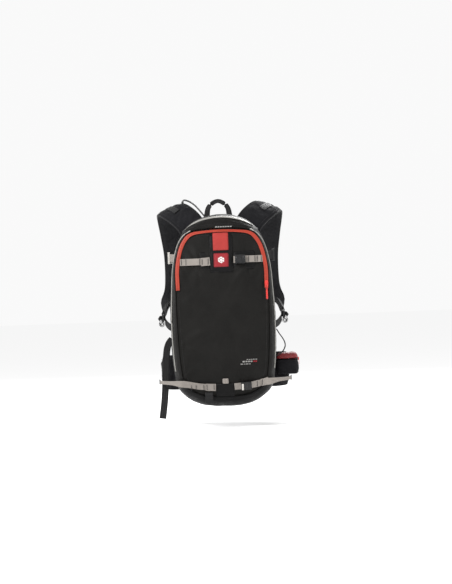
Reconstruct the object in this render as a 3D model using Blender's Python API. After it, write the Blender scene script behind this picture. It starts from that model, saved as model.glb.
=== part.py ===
"""An avalanche airbag backpack, worn: a 24 litre pack, its airbag system and its harness.

Metres, +Z up. The wearer stands on the +Y side and the pack's outer face looks along -Y,
so +X is the wearer's right. The origin is the middle of the back pad's contact face.
"""

import math

import bmesh
import bpy
from mathutils import Vector

MM = 0.001
TOUCH_GAP = 0.0004

# Bag, in millimetres. Each station of the half outline holds the silhouette's x and z and
# the front seam's x and z, from the bottom centre up the side to the top centre.
HALF_OUTLINE = [
    (0, -275, 0, -246),
    (63, -270, 58, -242),
    (108, -250, 96, -226),
    (136, -217, 117, -199),
    (145, -171, 124, -160),
    (150, -100, 129, -95),
    (151, -15, 131.5, -15),
    (146, 60, 132, 60),
    (140.5, 120, 132, 120),
    (129.5, 175, 122, 174),
    (114, 215, 106, 207),
    (93, 245, 84, 225),
    (53, 267, 47, 231),
    (0, 275, 0, 233),
]
OUTLINE_STEPS = 3
TOP_STATION = 13
COVER_STATION = 10.34
BOTTOM_STATION = 3.34
BAG_DEPTH = 190
TOP_TAPER = 47
BOTTOM_TAPER = 40
FRONT_CROWN = 10
SHELL = 3.0
SEAM_GAP = 2.4
COVER_SEAM_GAP = 3.4
BACK_EDGE_Y = -22.6
SIDE_BACK_Y = -42

# Back panel, pads and frame.
PAD_THICKNESS = 18
PANEL_FRONT_Y = -22.2
PANEL_BACK_Y = -18.4
SHEET_Y = (-25.0, -23.2)
STAY_Y = (-28.6, -25.5)

# Airbag system.
CYLINDER_X = -80
CYLINDER_Y = -66
CYLINDER_RADIUS = 30
CYLINDER_BOTTOM = -172
CYLINDER_TOP = 18
LEVER_PIVOT = Vector((-47, -66, 78))
LEVER_ARM = 34
CABLE_RADIUS = 2.5
TRIGGER_PLACE = Vector((-154.3, 240.2, 0))
TRIGGER_TURN = math.radians(21)
CABLE_ROUTE = [
    (-8, -66, 112), (-4, -52, 130), (-10, -33, 158), (-20, -30.5, 186), (-24, -25, 203),
    (-26, -12, 214), (-27, -7, 232), (-34, 2, 258), (-50, 13, 282), (-75, 34, 311),
    (-99, 66, 324.5), (-108, 108, 320), (-110, 158, 296), (-112, 202, 261),
    (-121, 227, 240), (-140, 238, 226), (-156.5, 247, 208.5),
]
COVER_HINGE = Vector((0, -26, 264))

# Harness, wearer's right side: centre, width direction, width and thickness.
SHOULDER_PATH = [
    ((62, -9.5, 168), (1, 0, 0), 60, 11),
    ((72, -8.5, 215), (1, 0, -0.03), 72, 12),
    ((86, 0, 251), (0.98, 0, -0.2), 78, 13),
    ((112, 25, 279), (0.93, 0, -0.36), 78, 14),
    ((139, 62, 296), (0.92, 0, -0.39), 76, 14),
    ((150, 106, 294), (0.93, 0, -0.36), 72, 14),
    ((150, 158, 270), (0.95, 0, -0.3), 68, 14),
    ((146, 205, 229), (0.97, -0.15, -0.15), 64, 14),
    ((142, 234, 172), (0.93, -0.36, 0), 60, 13),
    ((142, 235, 95), (0.93, -0.36, 0), 58, 13),
    ((151, 224, 45), (0.85, -0.5, -0.1), 54, 12),
    ((170, 180, 8), (0.35, -0.45, -0.8), 44, 12),
    ((177, 92, -12), (0.1, -0.2, -0.97), 30, 11),
]
HIP_PATH = [
    ((84, -9.5, -177), (0, 0, 1), 92, 13),
    ((132, -3, -177), (0, 0, 1), 98, 14),
    ((166, 26, -177), (0, 0, 1), 98, 15),
    ((179, 78, -178), (0, 0, 1), 94, 15),
    ((174, 135, -180), (0, 0, 1), 84, 15),
    ((150, 187, -182), (0, 0, 1), 70, 14),
    ((112, 222, -184), (0, 0, 1), 54, 12),
]
STERNUM_Z = 110
STERNUM_RAIL_X = 127.5
STERNUM_RAIL_Y = 255
STERNUM_RAIL_ENDS = (72, 148)
HIP_FRONT_Y = 243
HIP_Z = -184

# Webbing on the front.
WEBBING = 20
WEBBING_THICKNESS = 1.5
UPPER_STRAP_Z = 141
ZIP_WIDTH = 11
ZIP_INSET = 4
ZIP_LOW_Z = 58

COLOURS = {
    "fabric_black": ((0.026, 0.025, 0.023), 0.75, 0.0),
    "fabric_charcoal": ((0.024, 0.024, 0.027), 0.8, 0.0),
    "webbing_grey": ((0.35, 0.315, 0.28), 0.7, 0.0),
    "webbing_black": ((0.02, 0.02, 0.02), 0.7, 0.0),
    "zip_red": ((0.6, 0.08, 0.048), 0.45, 0.0),
    "strap_red": ((0.6, 0.07, 0.064), 0.6, 0.0),
    "pocket_red": ((0.25, 0.008, 0.01), 0.6, 0.0),
    "piping_grey": ((0.42, 0.4, 0.37), 0.5, 0.0),
    "plastic_black": ((0.012, 0.012, 0.012), 0.4, 0.0),
    "handle_red": ((0.55, 0.03, 0.02), 0.4, 0.0),
    "foam_grey": ((0.05, 0.05, 0.052), 0.85, 0.0),
    "aluminium": ((0.6, 0.6, 0.6), 0.35, 1.0),
    "airbag_orange": ((0.7, 0.16, 0.02), 0.6, 0.0),
}


def clear_scene():
    for item in list(bpy.data.objects):
        bpy.data.objects.remove(item, do_unlink=True)


def make_material(name):
    """The named material, made once."""
    found = bpy.data.materials.get(name)
    if found:
        return found
    colour, roughness, metallic = COLOURS[name]
    made = bpy.data.materials.new(name)
    made.use_nodes = True
    shader = made.node_tree.nodes["Principled BSDF"]
    shader.inputs["Base Color"].default_value = (*colour, 1)
    shader.inputs["Roughness"].default_value = roughness
    shader.inputs["Metallic"].default_value = metallic
    return made


def add_solid(name, bm, colour, origin=(0, 0, 0), smooth=False, parent=None, closed=True):
    """An object from a bmesh in millimetres, with its origin on the given point."""
    origin = Vector(origin) * MM
    if closed:
        bmesh.ops.recalc_face_normals(bm, faces=bm.faces)
    bmesh.ops.scale(bm, vec=(MM, MM, MM), verts=bm.verts)
    bmesh.ops.translate(bm, vec=-origin, verts=bm.verts)
    mesh = bpy.data.meshes.new(name)
    bm.to_mesh(mesh)
    bm.free()
    mesh.materials.append(make_material(colour))
    if smooth:
        mesh.shade_smooth()
        mesh.set_sharp_from_angle(angle=math.radians(40))
    made = bpy.data.objects.new(name, mesh)
    bpy.context.scene.collection.objects.link(made)
    made.location = origin
    if parent:
        made.parent = parent
        made.location = origin - parent.location
    return made


def spline_point(before, start, end, after, t):
    """Catmull-Rom between start and end."""
    return 0.5 * (
        2 * start
        + (end - before) * t
        + (2 * before - 5 * start + 4 * end - after) * t * t
        + (3 * start - before - 3 * end + after) * t ** 3
    )


def closed_spline(points, steps):
    points = [Vector(p) for p in points]
    count = len(points)
    return [
        spline_point(points[i - 1], points[i], points[(i + 1) % count], points[(i + 2) % count], k / steps)
        for i in range(count)
        for k in range(steps)
    ]


def open_spline(points, steps):
    points = [Vector(p) for p in points]
    padded = [2 * points[0] - points[1], *points, 2 * points[-1] - points[-2]]
    curve = [
        spline_point(*padded[i : i + 4], k / steps)
        for i in range(len(points) - 1)
        for k in range(steps)
    ]
    return [*curve, points[-1]]


def mirrored(path):
    """A harness path for the wearer's left side."""
    return [((-p[0], p[1], p[2]), (-w[0], w[1], w[2]), wide, thick) for p, w, wide, thick in path]


def front_y(x, z):
    """Where the bag's front face lies: deepest at the waist, tapered to the top and bottom."""
    top = TOP_TAPER * (max(0, z + 20) / 249) ** 2.8
    bottom = BOTTOM_TAPER * (max(0, -110 - z) / 136) ** 2.5
    return -BAG_DEPTH + top + bottom + FRONT_CROWN * (x / 128) ** 2


def on_front(x, z, lift):
    return Vector((x, front_y(x, z) - lift, z))


def outline_rows():
    """Silhouette and seam points all round the bag, bottom centre first, right side next."""
    left = [(-row[0], row[1], -row[2], row[3]) for row in HALF_OUTLINE[1:-1]]
    return closed_spline(HALF_OUTLINE + left[::-1], OUTLINE_STEPS)


def skin_column(row, seam_gap):
    """The bag's outer skin at one station, from its back edge to its front seam."""
    edge_x, edge_z, seam_x, seam_z = row
    seam_y = front_y(seam_x, seam_z)
    corner = Vector(
        (edge_x + 0.55 * (seam_x - edge_x), seam_y + 11, edge_z + 0.5 * (seam_z - edge_z))
    )
    seam = Vector((seam_x, seam_y, seam_z))
    return [
        Vector((0.955 * edge_x, BACK_EDGE_Y, 0.965 * edge_z)),
        Vector((edge_x, SIDE_BACK_Y, edge_z)),
        Vector((edge_x + 0.05 * (seam_x - edge_x), (SIDE_BACK_Y + seam_y + 36) / 2, edge_z)),
        Vector((edge_x + 0.2 * (seam_x - edge_x), seam_y + 36, edge_z + 0.08 * (seam_z - edge_z))),
        corner,
        seam + (corner - seam).normalized() * seam_gap,
    ]


def rows_between(first, last):
    """Outline rows from one station to another, counted past the bottom centre."""
    rows = outline_rows()
    start = round(first * OUTLINE_STEPS)
    end = round(last * OUTLINE_STEPS)
    return [rows[i % len(rows)] for i in range(start, end + 1)]


def skin_patch(name, first, last, seam_gap, colour, origin=(0, 0, 0)):
    """A panel of the bag's skin between two stations, with its thickness inwards."""
    columns = [skin_column(row, seam_gap) for row in rows_between(first, last)]
    bm = bmesh.new()
    grid = [[bm.verts.new(point) for point in column] for column in columns]
    for low, high in zip(grid, grid[1:]):
        for k in range(len(low) - 1):
            bm.faces.new((low[k], high[k], high[k + 1], low[k + 1]))
    panel = add_solid(name, bm, colour, origin=origin, smooth=True, closed=False)
    add_thickness(panel, SHELL)
    return panel


def add_thickness(panel, thickness):
    solidify = panel.modifiers.new("thickness", "SOLIDIFY")
    solidify.thickness = thickness * MM
    solidify.offset = -1


def inset_loop(points, distance):
    """A closed loop of (x, z) points moved inwards."""
    count = len(points)
    moved = []
    for i in range(count):
        along = (points[(i + 1) % count] - points[i - 1]).normalized()
        moved.append(points[i] + Vector((-along.y, along.x)) * distance)
    return moved


def seam_loop(inset):
    return inset_loop([Vector((row[2], row[3])) for row in outline_rows()], inset)


def make_front_panel():
    loop = seam_loop(SEAM_GAP)
    bm = bmesh.new()
    rings = []
    for share in (1.0, 0.8, 0.55, 0.3, 0.1):
        rings.append([bm.verts.new(on_front(p.x * share, p.y * share, 0)) for p in loop])
    count = len(loop)
    for outer, inner in zip(rings, rings[1:]):
        for i in range(count):
            j = (i + 1) % count
            bm.faces.new((outer[i], outer[j], inner[j], inner[i]))
    bm.faces.new(rings[-1])
    panel = add_solid("front_panel", bm, "fabric_black", smooth=True, closed=False)
    add_thickness(panel, SHELL)


def make_bag_skin():
    skin_patch(
        "gusset_right", BOTTOM_STATION, COVER_STATION, SEAM_GAP, "fabric_black"
    )
    full = 2 * TOP_STATION
    skin_patch(
        "gusset_left", full - COVER_STATION, full - BOTTOM_STATION, SEAM_GAP, "fabric_black"
    )
    gap = 1 / OUTLINE_STEPS
    skin_patch("bottom_panel", gap - BOTTOM_STATION, BOTTOM_STATION - gap, SEAM_GAP, "fabric_black")
    skin_patch(
        "airbag_cover", COVER_STATION + gap, full - COVER_STATION - gap, COVER_SEAM_GAP,
        "fabric_black", origin=COVER_HINGE,
    )


def extrude_outline(name, outline, low, high, colour, axis="Y", **options):
    """A prism: a closed outline swept between two places along one axis."""
    place = {
        "X": lambda a, b, c: (c, a, b),
        "Y": lambda a, b, c: (a, c, b),
        "Z": lambda a, b, c: (a, b, c),
    }[axis]
    bm = bmesh.new()
    near = [bm.verts.new(place(a, b, low)) for a, b in outline]
    far = [bm.verts.new(place(a, b, high)) for a, b in outline]
    count = len(outline)
    bm.faces.new(near)
    bm.faces.new(far)
    for i in range(count):
        j = (i + 1) % count
        bm.faces.new((near[i], near[j], far[j], far[i]))
    return add_solid(name, bm, colour, **options)


def rounded_rectangle(x0, x1, z0, z1, radius, steps=4):
    corners = [
        (x1 - radius, z1 - radius, 0),
        (x0 + radius, z1 - radius, 90),
        (x0 + radius, z0 + radius, 180),
        (x1 - radius, z0 + radius, 270),
    ]
    points = []
    for cx, cz, start in corners:
        for k in range(steps + 1):
            angle = math.radians(start + 90 * k / steps)
            points.append((cx + radius * math.cos(angle), cz + radius * math.sin(angle)))
    return points


def cut_hole(target, name, outline, low, high, axis="Y"):
    """A hole through a solid, cut by a hidden prism."""
    cutter = extrude_outline(name, outline, low, high, "plastic_black", axis=axis)
    cutter.hide_render = True
    cutter.display_type = "WIRE"
    boolean = target.modifiers.new(name, "BOOLEAN")
    boolean.operation = "DIFFERENCE"
    boolean.object = cutter


def make_back():
    """The back panel, its pads, the frame sheet and the two stays."""
    loop = [(0.955 * row[0], 0.965 * row[1]) for row in outline_rows()]
    panel = extrude_outline("back_panel", loop, PANEL_FRONT_Y, PANEL_BACK_Y, "fabric_black")
    port = rounded_rectangle(-33, -16, 196, 216, 4)
    cut_hole(panel, "port_cutter", port, PANEL_FRONT_Y - 5, PANEL_BACK_Y + 5)
    pad_back = -PAD_THICKNESS
    pad = extrude_outline(
        "back_pad", rounded_rectangle(-108, 108, -118, 150, 28), pad_back, 0, "foam_grey"
    )
    add_bevel(pad, 4)
    lumbar = extrude_outline(
        "lumbar_pad", rounded_rectangle(-74, 74, -232, -126, 20), pad_back, 0, "foam_grey"
    )
    add_bevel(lumbar, 4)
    extrude_outline("frame_sheet", rounded_rectangle(-112, 112, -225, 186, 40), *SHEET_Y, "plastic_black")
    for side, x in (("left", -62), ("right", 62)):
        extrude_outline(
            f"stay_{side}", rounded_rectangle(x - 9, x + 9, -205, 165, 6, steps=2), *STAY_Y, "aluminium"
        )


def add_bevel(item, width, segments=2):
    bevel = item.modifiers.new("bevel", "BEVEL")
    bevel.width = width * MM
    bevel.segments = segments
    bevel.limit_method = "ANGLE"
    bevel.angle_limit = math.radians(50)


def lathe(name, profile, centre, colour, segments=24, **options):
    """A turned solid about a vertical axis; the profile runs from bottom to top, pole to pole."""
    bm = bmesh.new()
    rings = []
    for radius, z in profile:
        if radius == 0:
            rings.append([bm.verts.new((centre[0], centre[1], z))])
            continue
        ring = []
        for k in range(segments):
            angle = 2 * math.pi * k / segments
            ring.append(
                bm.verts.new((centre[0] + radius * math.cos(angle), centre[1] + radius * math.sin(angle), z))
            )
        rings.append(ring)
    for low, high in zip(rings, rings[1:]):
        for k in range(segments):
            corners = [low[k % len(low)], low[(k + 1) % len(low)], high[(k + 1) % len(high)], high[k % len(high)]]
            bm.faces.new(list(dict.fromkeys(corners)))
    return add_solid(name, bm, colour, smooth=True, **options)


def dome(radius, z_edge, height, steps, rising):
    """Profile points of a domed end, from its edge to its pole or back."""
    points = []
    for k in range(steps + 1):
        angle = math.radians(90 * k / steps)
        points.append((radius * math.cos(angle), z_edge + height * math.sin(angle)))
    points[-1] = (0, z_edge + height)
    return points if rising else points[::-1]


def make_cylinder():
    """The pressure cylinder, its inflator head with the venturi, and the strap that holds it."""
    centre = (CYLINDER_X, CYLINDER_Y)
    profile = [
        *dome(CYLINDER_RADIUS, CYLINDER_BOTTOM + 16, -16, 3, rising=False),
        *dome(CYLINDER_RADIUS, CYLINDER_TOP - 20, 12, 3, rising=True)[:-1],
        (11, CYLINDER_TOP - 7),
        (11, CYLINDER_TOP),
        (0, CYLINDER_TOP),
    ]
    lathe("gas_cylinder", profile, centre, "aluminium", origin=(*centre, CYLINDER_TOP))
    base = CYLINDER_TOP + TOUCH_GAP / MM
    head = [
        (0, base),
        (17, base),
        (19, base + 4),
        (19, base + 22),
        (24, base + 28),
        (24, base + 58),
        (20, base + 64),
        (20, base + 78),
        (0, base + 78),
    ]
    lathe("inflator_head", head, centre, "plastic_black")
    make_ring("cylinder_strap", centre, CYLINDER_RADIUS + 0.5, CYLINDER_RADIUS + 2.3, -72, -47)
    lever = [
        (-4, -6), (4, -6), (4, LEVER_ARM - 6), (6, LEVER_ARM), (0, LEVER_ARM + 5), (-4, LEVER_ARM)
    ]
    lever = [(LEVER_PIVOT.x + x, LEVER_PIVOT.z + z) for x, z in lever]
    extrude_outline(
        "firing_lever", lever, LEVER_PIVOT.y - 4, LEVER_PIVOT.y + 4, "handle_red", origin=LEVER_PIVOT
    )


def make_ring(name, centre, inner, outer, low, high, segments=24):
    """A flat band round a vertical axis."""
    bm = bmesh.new()
    corners = ((inner, low), (outer, low), (outer, high), (inner, high))
    stations = []
    for k in range(segments):
        angle = 2 * math.pi * k / segments
        stations.append(
            [
                bm.verts.new((centre[0] + r * math.cos(angle), centre[1] + r * math.sin(angle), z))
                for r, z in corners
            ]
        )
    for k in range(segments):
        here, there = stations[k], stations[(k + 1) % segments]
        for c in range(4):
            d = (c + 1) % 4
            bm.faces.new((here[c], there[c], there[d], here[d]))
    add_solid(name, bm, "webbing_black", smooth=True)


def make_tube(name, route, radius, steps, resolution, colour):
    """A round cord or tube along a smooth route."""
    points = open_spline(route, steps)
    curve = bpy.data.curves.new(name, "CURVE")
    curve.dimensions = "3D"
    curve.bevel_depth = radius * MM
    curve.bevel_resolution = resolution
    curve.use_fill_caps = True
    spline = curve.splines.new("POLY")
    spline.points.add(len(points) - 1)
    for slot, point in zip(spline.points, points):
        slot.co = (*(point * MM), 1)
    curve.materials.append(make_material(colour))
    made = bpy.data.objects.new(name, curve)
    bpy.context.scene.collection.objects.link(made)
    return made


def make_airbag():
    """The folded airbag's roll along the top, and the floor of its compartment."""
    roll = [
        (-82, -84, 206), (-60, -84, 219), (-30, -84, 227), (0, -84, 229),
        (30, -84, 227), (60, -84, 219), (82, -84, 206),
    ]
    make_tube("folded_airbag", roll, 25, 2, 3, "airbag_orange")
    floor = rounded_rectangle(-118, 118, -152, -37, 12)
    extrude_outline("airbag_bay_floor", floor, 172, 174.5, "fabric_charcoal", axis="Z")


def ribbon(name, path, colour, steps=3, **options):
    """Webbing or a padded strap: centre, width direction, width and thickness at each point."""
    samples = open_spline([(*p, *w, wide, thick) for p, w, wide, thick in path], steps)
    bm = bmesh.new()
    rings = []
    for i, sample in enumerate(samples):
        centre = Vector(sample[0:3])
        ahead = Vector(samples[min(i + 1, len(samples) - 1)][0:3])
        behind = Vector(samples[max(i - 1, 0)][0:3])
        along = (ahead - behind).normalized()
        across = Vector(sample[3:6])
        across = (across - along * across.dot(along)).normalized()
        out = along.cross(across)
        half_width = across * sample[6] / 2
        half_thick = out * sample[7] / 2
        rings.append(
            [
                bm.verts.new(centre + a * half_width + b * half_thick)
                for a, b in ((-1, -1), (1, -1), (1, 1), (-1, 1))
            ]
        )
    for low, high in zip(rings, rings[1:]):
        for c in range(4):
            d = (c + 1) % 4
            bm.faces.new((low[c], low[d], high[d], high[c]))
    bm.faces.new(rings[0])
    bm.faces.new(rings[-1])
    return add_solid(name, bm, colour, smooth=True, **options)


def flat_path(points, across, width=WEBBING, thickness=WEBBING_THICKNESS):
    """A ribbon path of one width and one width direction."""
    return [(point, across, width, thickness) for point in points]


def make_box(name, low, high, colour, bevel=0.0, **options):
    made = extrude_outline(
        name, [(low[0], low[2]), (high[0], low[2]), (high[0], high[2]), (low[0], high[2])],
        low[1], high[1], colour, **options,
    )
    if bevel:
        add_bevel(made, bevel, segments=1)
    return made


def make_cup(name, low, high, wall, open_side, colour, **options):
    """A box with a pocket in it that opens on one side, such as '+X' or '-Z'."""
    axis = "XYZ".index(open_side[1])
    sign = 1 if open_side[0] == "+" else -1
    inner_low = [a + wall for a in low]
    inner_high = [a - wall for a in high]
    if sign > 0:
        inner_high[axis] = high[axis]
    else:
        inner_low[axis] = low[axis]
    bm = bmesh.new()

    def corners(a, b):
        return {
            (i, j, k): bm.verts.new(((a, b)[i][0], (a, b)[j][1], (a, b)[k][2]))
            for i in (0, 1) for j in (0, 1) for k in (0, 1)
        }

    outside = corners(low, high)
    inside = corners(inner_low, inner_high)
    others = [a for a in range(3) if a != axis]
    open_value = 1 if sign > 0 else 0

    def key(along, first, second):
        made = [0, 0, 0]
        made[axis], made[others[0]], made[others[1]] = along, first, second
        return tuple(made)

    turn = [(0, 0), (1, 0), (1, 1), (0, 1)]
    closed_value = 1 - open_value
    for cage in (outside, inside):
        bm.faces.new([cage[key(closed_value, *t)] for t in turn])
        for t, u in zip(turn, turn[1:] + turn[:1]):
            bm.faces.new(
                [cage[key(0, *t)], cage[key(0, *u)], cage[key(1, *u)], cage[key(1, *t)]]
            )
    for t, u in zip(turn, turn[1:] + turn[:1]):
        bm.faces.new(
            [outside[key(open_value, *t)], outside[key(open_value, *u)],
             inside[key(open_value, *u)], inside[key(open_value, *t)]]
        )
    return add_solid(name, bm, colour, **options)


def fork_outline(tip, z, length, height, sign):
    """A side-release buckle's male half: a base bar, two sprung prongs and a guide tongue."""
    half = height / 2
    prong = half - 1.2
    shape = [
        (0, -half), (7, -half), (7, -prong), (length - 3, -prong), (length, -prong + 2.5),
        (length - 3, -prong + 3.2), (9, -prong + 3.2), (9, -1.6), (length - 6, -1.6),
        (length - 6, 1.6), (9, 1.6), (9, prong - 3.2), (length - 3, prong - 3.2),
        (length, prong - 2.5), (length - 3, prong), (7, prong), (7, half), (0, half),
    ]
    return [(tip + sign * (a - length), z + b) for a, b in shape]


def make_buckle(prefix, joint_x, z, y_near, y_far, width, reach):
    """Both halves of a side-release buckle that lies along X. Its mouth is at joint_x,
    the female half is on the -X side and the male half slides out along +X."""
    half = width / 2 + 1.5
    female_low = (joint_x - reach, min(y_near, y_far), z - half)
    female_high = (joint_x, max(y_near, y_far), z + half)
    make_cup(f"{prefix}_buckle_female", female_low, female_high, 1.5, "+X", "plastic_black")
    depth_low = female_low[1] + 2.1
    depth_high = female_high[1] - 2.1
    tip = joint_x - reach + 3
    outline = fork_outline(tip, z, reach + 6, width - 3.6, -1)
    extrude_outline(
        f"{prefix}_buckle_male", outline, depth_low, depth_high, "plastic_black",
        origin=(joint_x, (depth_low + depth_high) / 2, z),
    )


def zip_path():
    """The red zip's centre line, from its left end over the top to its right end."""
    loop = seam_loop(ZIP_INSET + SEAM_GAP)
    count = len(loop)
    right = [p for p in loop[: count // 2] if p.y > ZIP_LOW_Z]
    left = [p for p in loop[count // 2 :] if p.y > ZIP_LOW_Z]
    return right + left


def make_zip():
    """The zip's tape, its slider on the straight right side, and the cord pull."""
    inner = [on_front(p.x * 0.96, p.y * 0.97, 0) for p in zip_path()]
    centre = [on_front(p.x, p.y, 3.3) for p in zip_path()]
    bm = bmesh.new()
    rings = []
    for middle, inward in zip(centre, inner):
        across = (inward - middle)
        across.y = 0.6 * across.y
        across = across.normalized() * ZIP_WIDTH / 2
        rings.append(
            [
                bm.verts.new(middle + a * across + Vector((0, b, 0)))
                for a, b in ((-1, -0.7), (1, -0.7), (1, 0.7), (-1, 0.7))
            ]
        )
    for low, high in zip(rings, rings[1:]):
        for c in range(4):
            d = (c + 1) % 4
            bm.faces.new((low[c], low[d], high[d], high[c]))
    bm.faces.new(rings[0])
    bm.faces.new(rings[-1])
    add_solid("main_zip", bm, "zip_red")


def make_piping():
    """Light reflective piping up each side of the bag, just outside the zip."""
    right = []
    for row in rows_between(4, COVER_STATION - 1 / OUTLINE_STEPS):
        away = Vector((row[0] - row[2], 0, row[1] - row[3])).normalized()
        outward = (away + Vector((0, -0.6, 0))).normalized()
        right.append(skin_column(row, SEAM_GAP)[3] + outward * 2.6)
    left = [Vector((-p.x, p.y, p.z)) for p in right]
    make_tube("piping_right", right, 1.9, 1, 2, "piping_grey")
    make_tube("piping_left", left, 1.9, 1, 2, "piping_grey")


def front_plate(name, x0, x1, z0, z1, lift, thickness, colour, columns=4, rows=6):
    """A flat piece sewn to the front, which follows the front's curve."""
    bm = bmesh.new()
    grid = [
        [
            bm.verts.new(on_front(x0 + (x1 - x0) * i / columns, z0 + (z1 - z0) * j / rows, lift + thickness))
            for j in range(rows + 1)
        ]
        for i in range(columns + 1)
    ]
    for i in range(columns):
        for j in range(rows):
            bm.faces.new((grid[i][j], grid[i + 1][j], grid[i + 1][j + 1], grid[i][j + 1]))
    plate = add_solid(name, bm, colour, closed=False)
    add_thickness(plate, thickness)
    return plate


def make_front_trim():
    front_plate("label_patch", -33.5, 33.5, 108, 218, 0.6, 1.4, "webbing_black")
    front_plate("red_tab", -22, 22, 170, 216, 2.6, 1.0, "strap_red", rows=4)


def up_front(x, z):
    """The direction that runs up the front face at a place."""
    return (on_front(x, z + 5, 0) - on_front(x, z - 5, 0)).normalized()


def front_strap(name, start, end, lift=2.4):
    """Webbing lying on the front from one (x, z) to another."""
    count = 5
    path = []
    for k in range(count):
        share = k / (count - 1)
        x = start[0] + (end[0] - start[0]) * share
        z = start[1] + (end[1] - start[1]) * share
        path.append((on_front(x, z, lift), up_front(x, z), WEBBING, WEBBING_THICKNESS))
    ribbon(name, path, "webbing_grey", steps=1)


def make_front_straps():
    """The two rows of grey compression straps and their buckles."""
    front_strap("upper_strap_left", (-115.5, UPPER_STRAP_Z - 1), (-36, UPPER_STRAP_Z - 2))
    front_strap("upper_strap_right", (38, UPPER_STRAP_Z + 2), (115.5, UPPER_STRAP_Z + 2))
    surface = front_y(60, UPPER_STRAP_Z)
    make_buckle("upper", 58, UPPER_STRAP_Z + 2, surface - 7, surface - 14.4, WEBBING, 18)
    for side, sign in (("left", -1), ("right", 1)):
        path = [
            (on_front(sign * x, z, lift), up_front(sign * x, z), WEBBING, WEBBING_THICKNESS)
            for x, z, lift in ((30, -218, 3), (52, -216.5, 3), (75, -214, 3), (106, -208, 3.4))
        ]
        wing = [(129, -173, -205, 18), (151, -142, -203, 12), (176, -76, -203, 10),
                (188, -10, -204, 10), (191.5, 44, -204.5, 11)]
        for x, y, z, width in wing:
            path.append((Vector((sign * x, y, z)), (0, 0, 1), width, WEBBING_THICKNESS))
        ribbon(f"lower_strap_{side}", path, "webbing_grey", steps=2)
    surface = front_y(60, -216)
    make_buckle("lower", 63, -216, surface - 9.4, surface - 16.8, WEBBING, 18)


def make_zip_slider():
    """The slider and its cord pull, on the straight lower right end of the zip."""
    low = on_front(126.2, 64, 5.8)
    outline = [(-4, 0), (4, 0), (5, 8), (3.5, 16), (-3.5, 16), (-5, 8)]
    outline = [(low.x + x, low.z + z) for x, z in outline]
    slider = extrude_outline("zip_slider", outline, low.y - 4, low.y, "zip_red", origin=low)
    add_bevel(slider, 0.8, segments=1)
    pivot = Vector((low.x, low.y - 5.6, low.z + 4))
    pull = rounded_rectangle(low.x - 2.6, low.x + 2.6, low.z - 38, low.z + 5, 2, steps=2)
    extrude_outline(
        "zip_pull", pull, pivot.y - 1.2, pivot.y + 1.2, "zip_red", origin=pivot, parent=slider
    )


def make_loops():
    """The axe loop, the grab handle, the side loop and the hanging leg strap."""
    axe = [
        on_front(-48, -231, 2.2), on_front(-48, -235, 7), on_front(-48, -243, 11),
        on_front(-48, -252, 10), Vector((-48, -147, -261)),
    ]
    ribbon("axe_loop", flat_path(axe, (1, 0, 0)), "webbing_black", steps=3)
    handle = [
        Vector((-37, -16.4, 238)), Vector((-37, -16.2, 268)), Vector((-30, -15, 300)),
        Vector((-4, -14, 316)), Vector((22, -15, 300)), Vector((29, -16.2, 268)),
        Vector((29, -16.4, 238)),
    ]
    widths = (16, 16, 14, 12, 14, 16, 16)
    across = ((1, 0, 0), (1, 0, 0), (0.9, 0, 0.5), (0, 0, 1), (-0.9, 0, 0.5), (-1, 0, 0), (-1, 0, 0))
    path = [(p, a, w, 2.4) for p, a, w in zip(handle, across, widths)]
    ribbon("grab_handle", path, "webbing_black", steps=3)
    loop = [
        Vector((152.6, -58, -64)), Vector((161, -58, -76)), Vector((171, -58, -92)),
        Vector((176, -58, -108)), Vector((169, -58, -124)), Vector((152.2, -58, -136)),
    ]
    ribbon("side_loop_right", flat_path(loop, (0, 1, 0)), "webbing_black", steps=3)
    leg = [
        (Vector((-130, -15.8, -66)), (0.6, 0, 0.8)), (Vector((-151, -15.4, -80)), (0.75, 0, 0.6)),
        (Vector((-165, -15, -103)), (0.95, 0, 0.3)), (Vector((-171, -13, -150)), (1, 0, 0)),
        (Vector((-174, -12, -205)), (1, 0, 0)), (Vector((-179, -13, -260)), (1, 0, 0)),
        (Vector((-186, -14, -309)), (1, 0, 0)),
    ]
    ribbon("leg_strap", [(p, a, 20, 1.8) for p, a in leg], "webbing_black", steps=2)


def ladder_lock(name, centre, size=(6, 26, 24), origin=None):
    """A ladder-lock: a frame with one slot through it along X."""
    dx, dy, dz = (value / 2 for value in size)
    low = (centre.x - dx, centre.y - dy, centre.z - dz)
    high = (centre.x + dx, centre.y + dy, centre.z + dz)
    frame = extrude_outline(
        name, rounded_rectangle(low[1], high[1], low[2], high[2], 3, steps=2), low[0], high[0],
        "plastic_black", axis="X", origin=origin or centre,
    )
    slot = rounded_rectangle(low[1] + 5, high[1] - 5, low[2] + 4, high[2] - 4, 1, steps=1)
    cut_hole(frame, f"{name}_slot", slot, low[0] - 2, high[0] + 2, axis="X")
    return frame


def make_side_adjuster(side, sign):
    """A ladder-lock that stands off the bag's side on a short foot."""
    name = f"side_adjuster_{side}"
    frame = ladder_lock(name, Vector((sign * 149.5, -92, 154)), size=(6, 24, 34))
    inner, outer = sorted((sign * 138.5, sign * 148))
    foot = extrude_outline(
        f"{name}_foot", rounded_rectangle(-100, -84, 138, 151, 2, steps=1), inner, outer,
        "plastic_black", axis="X",
    )
    foot.hide_render = True
    foot.display_type = "WIRE"
    union = frame.modifiers.new("foot", "BOOLEAN")
    union.operation = "UNION"
    union.object = foot


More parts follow.
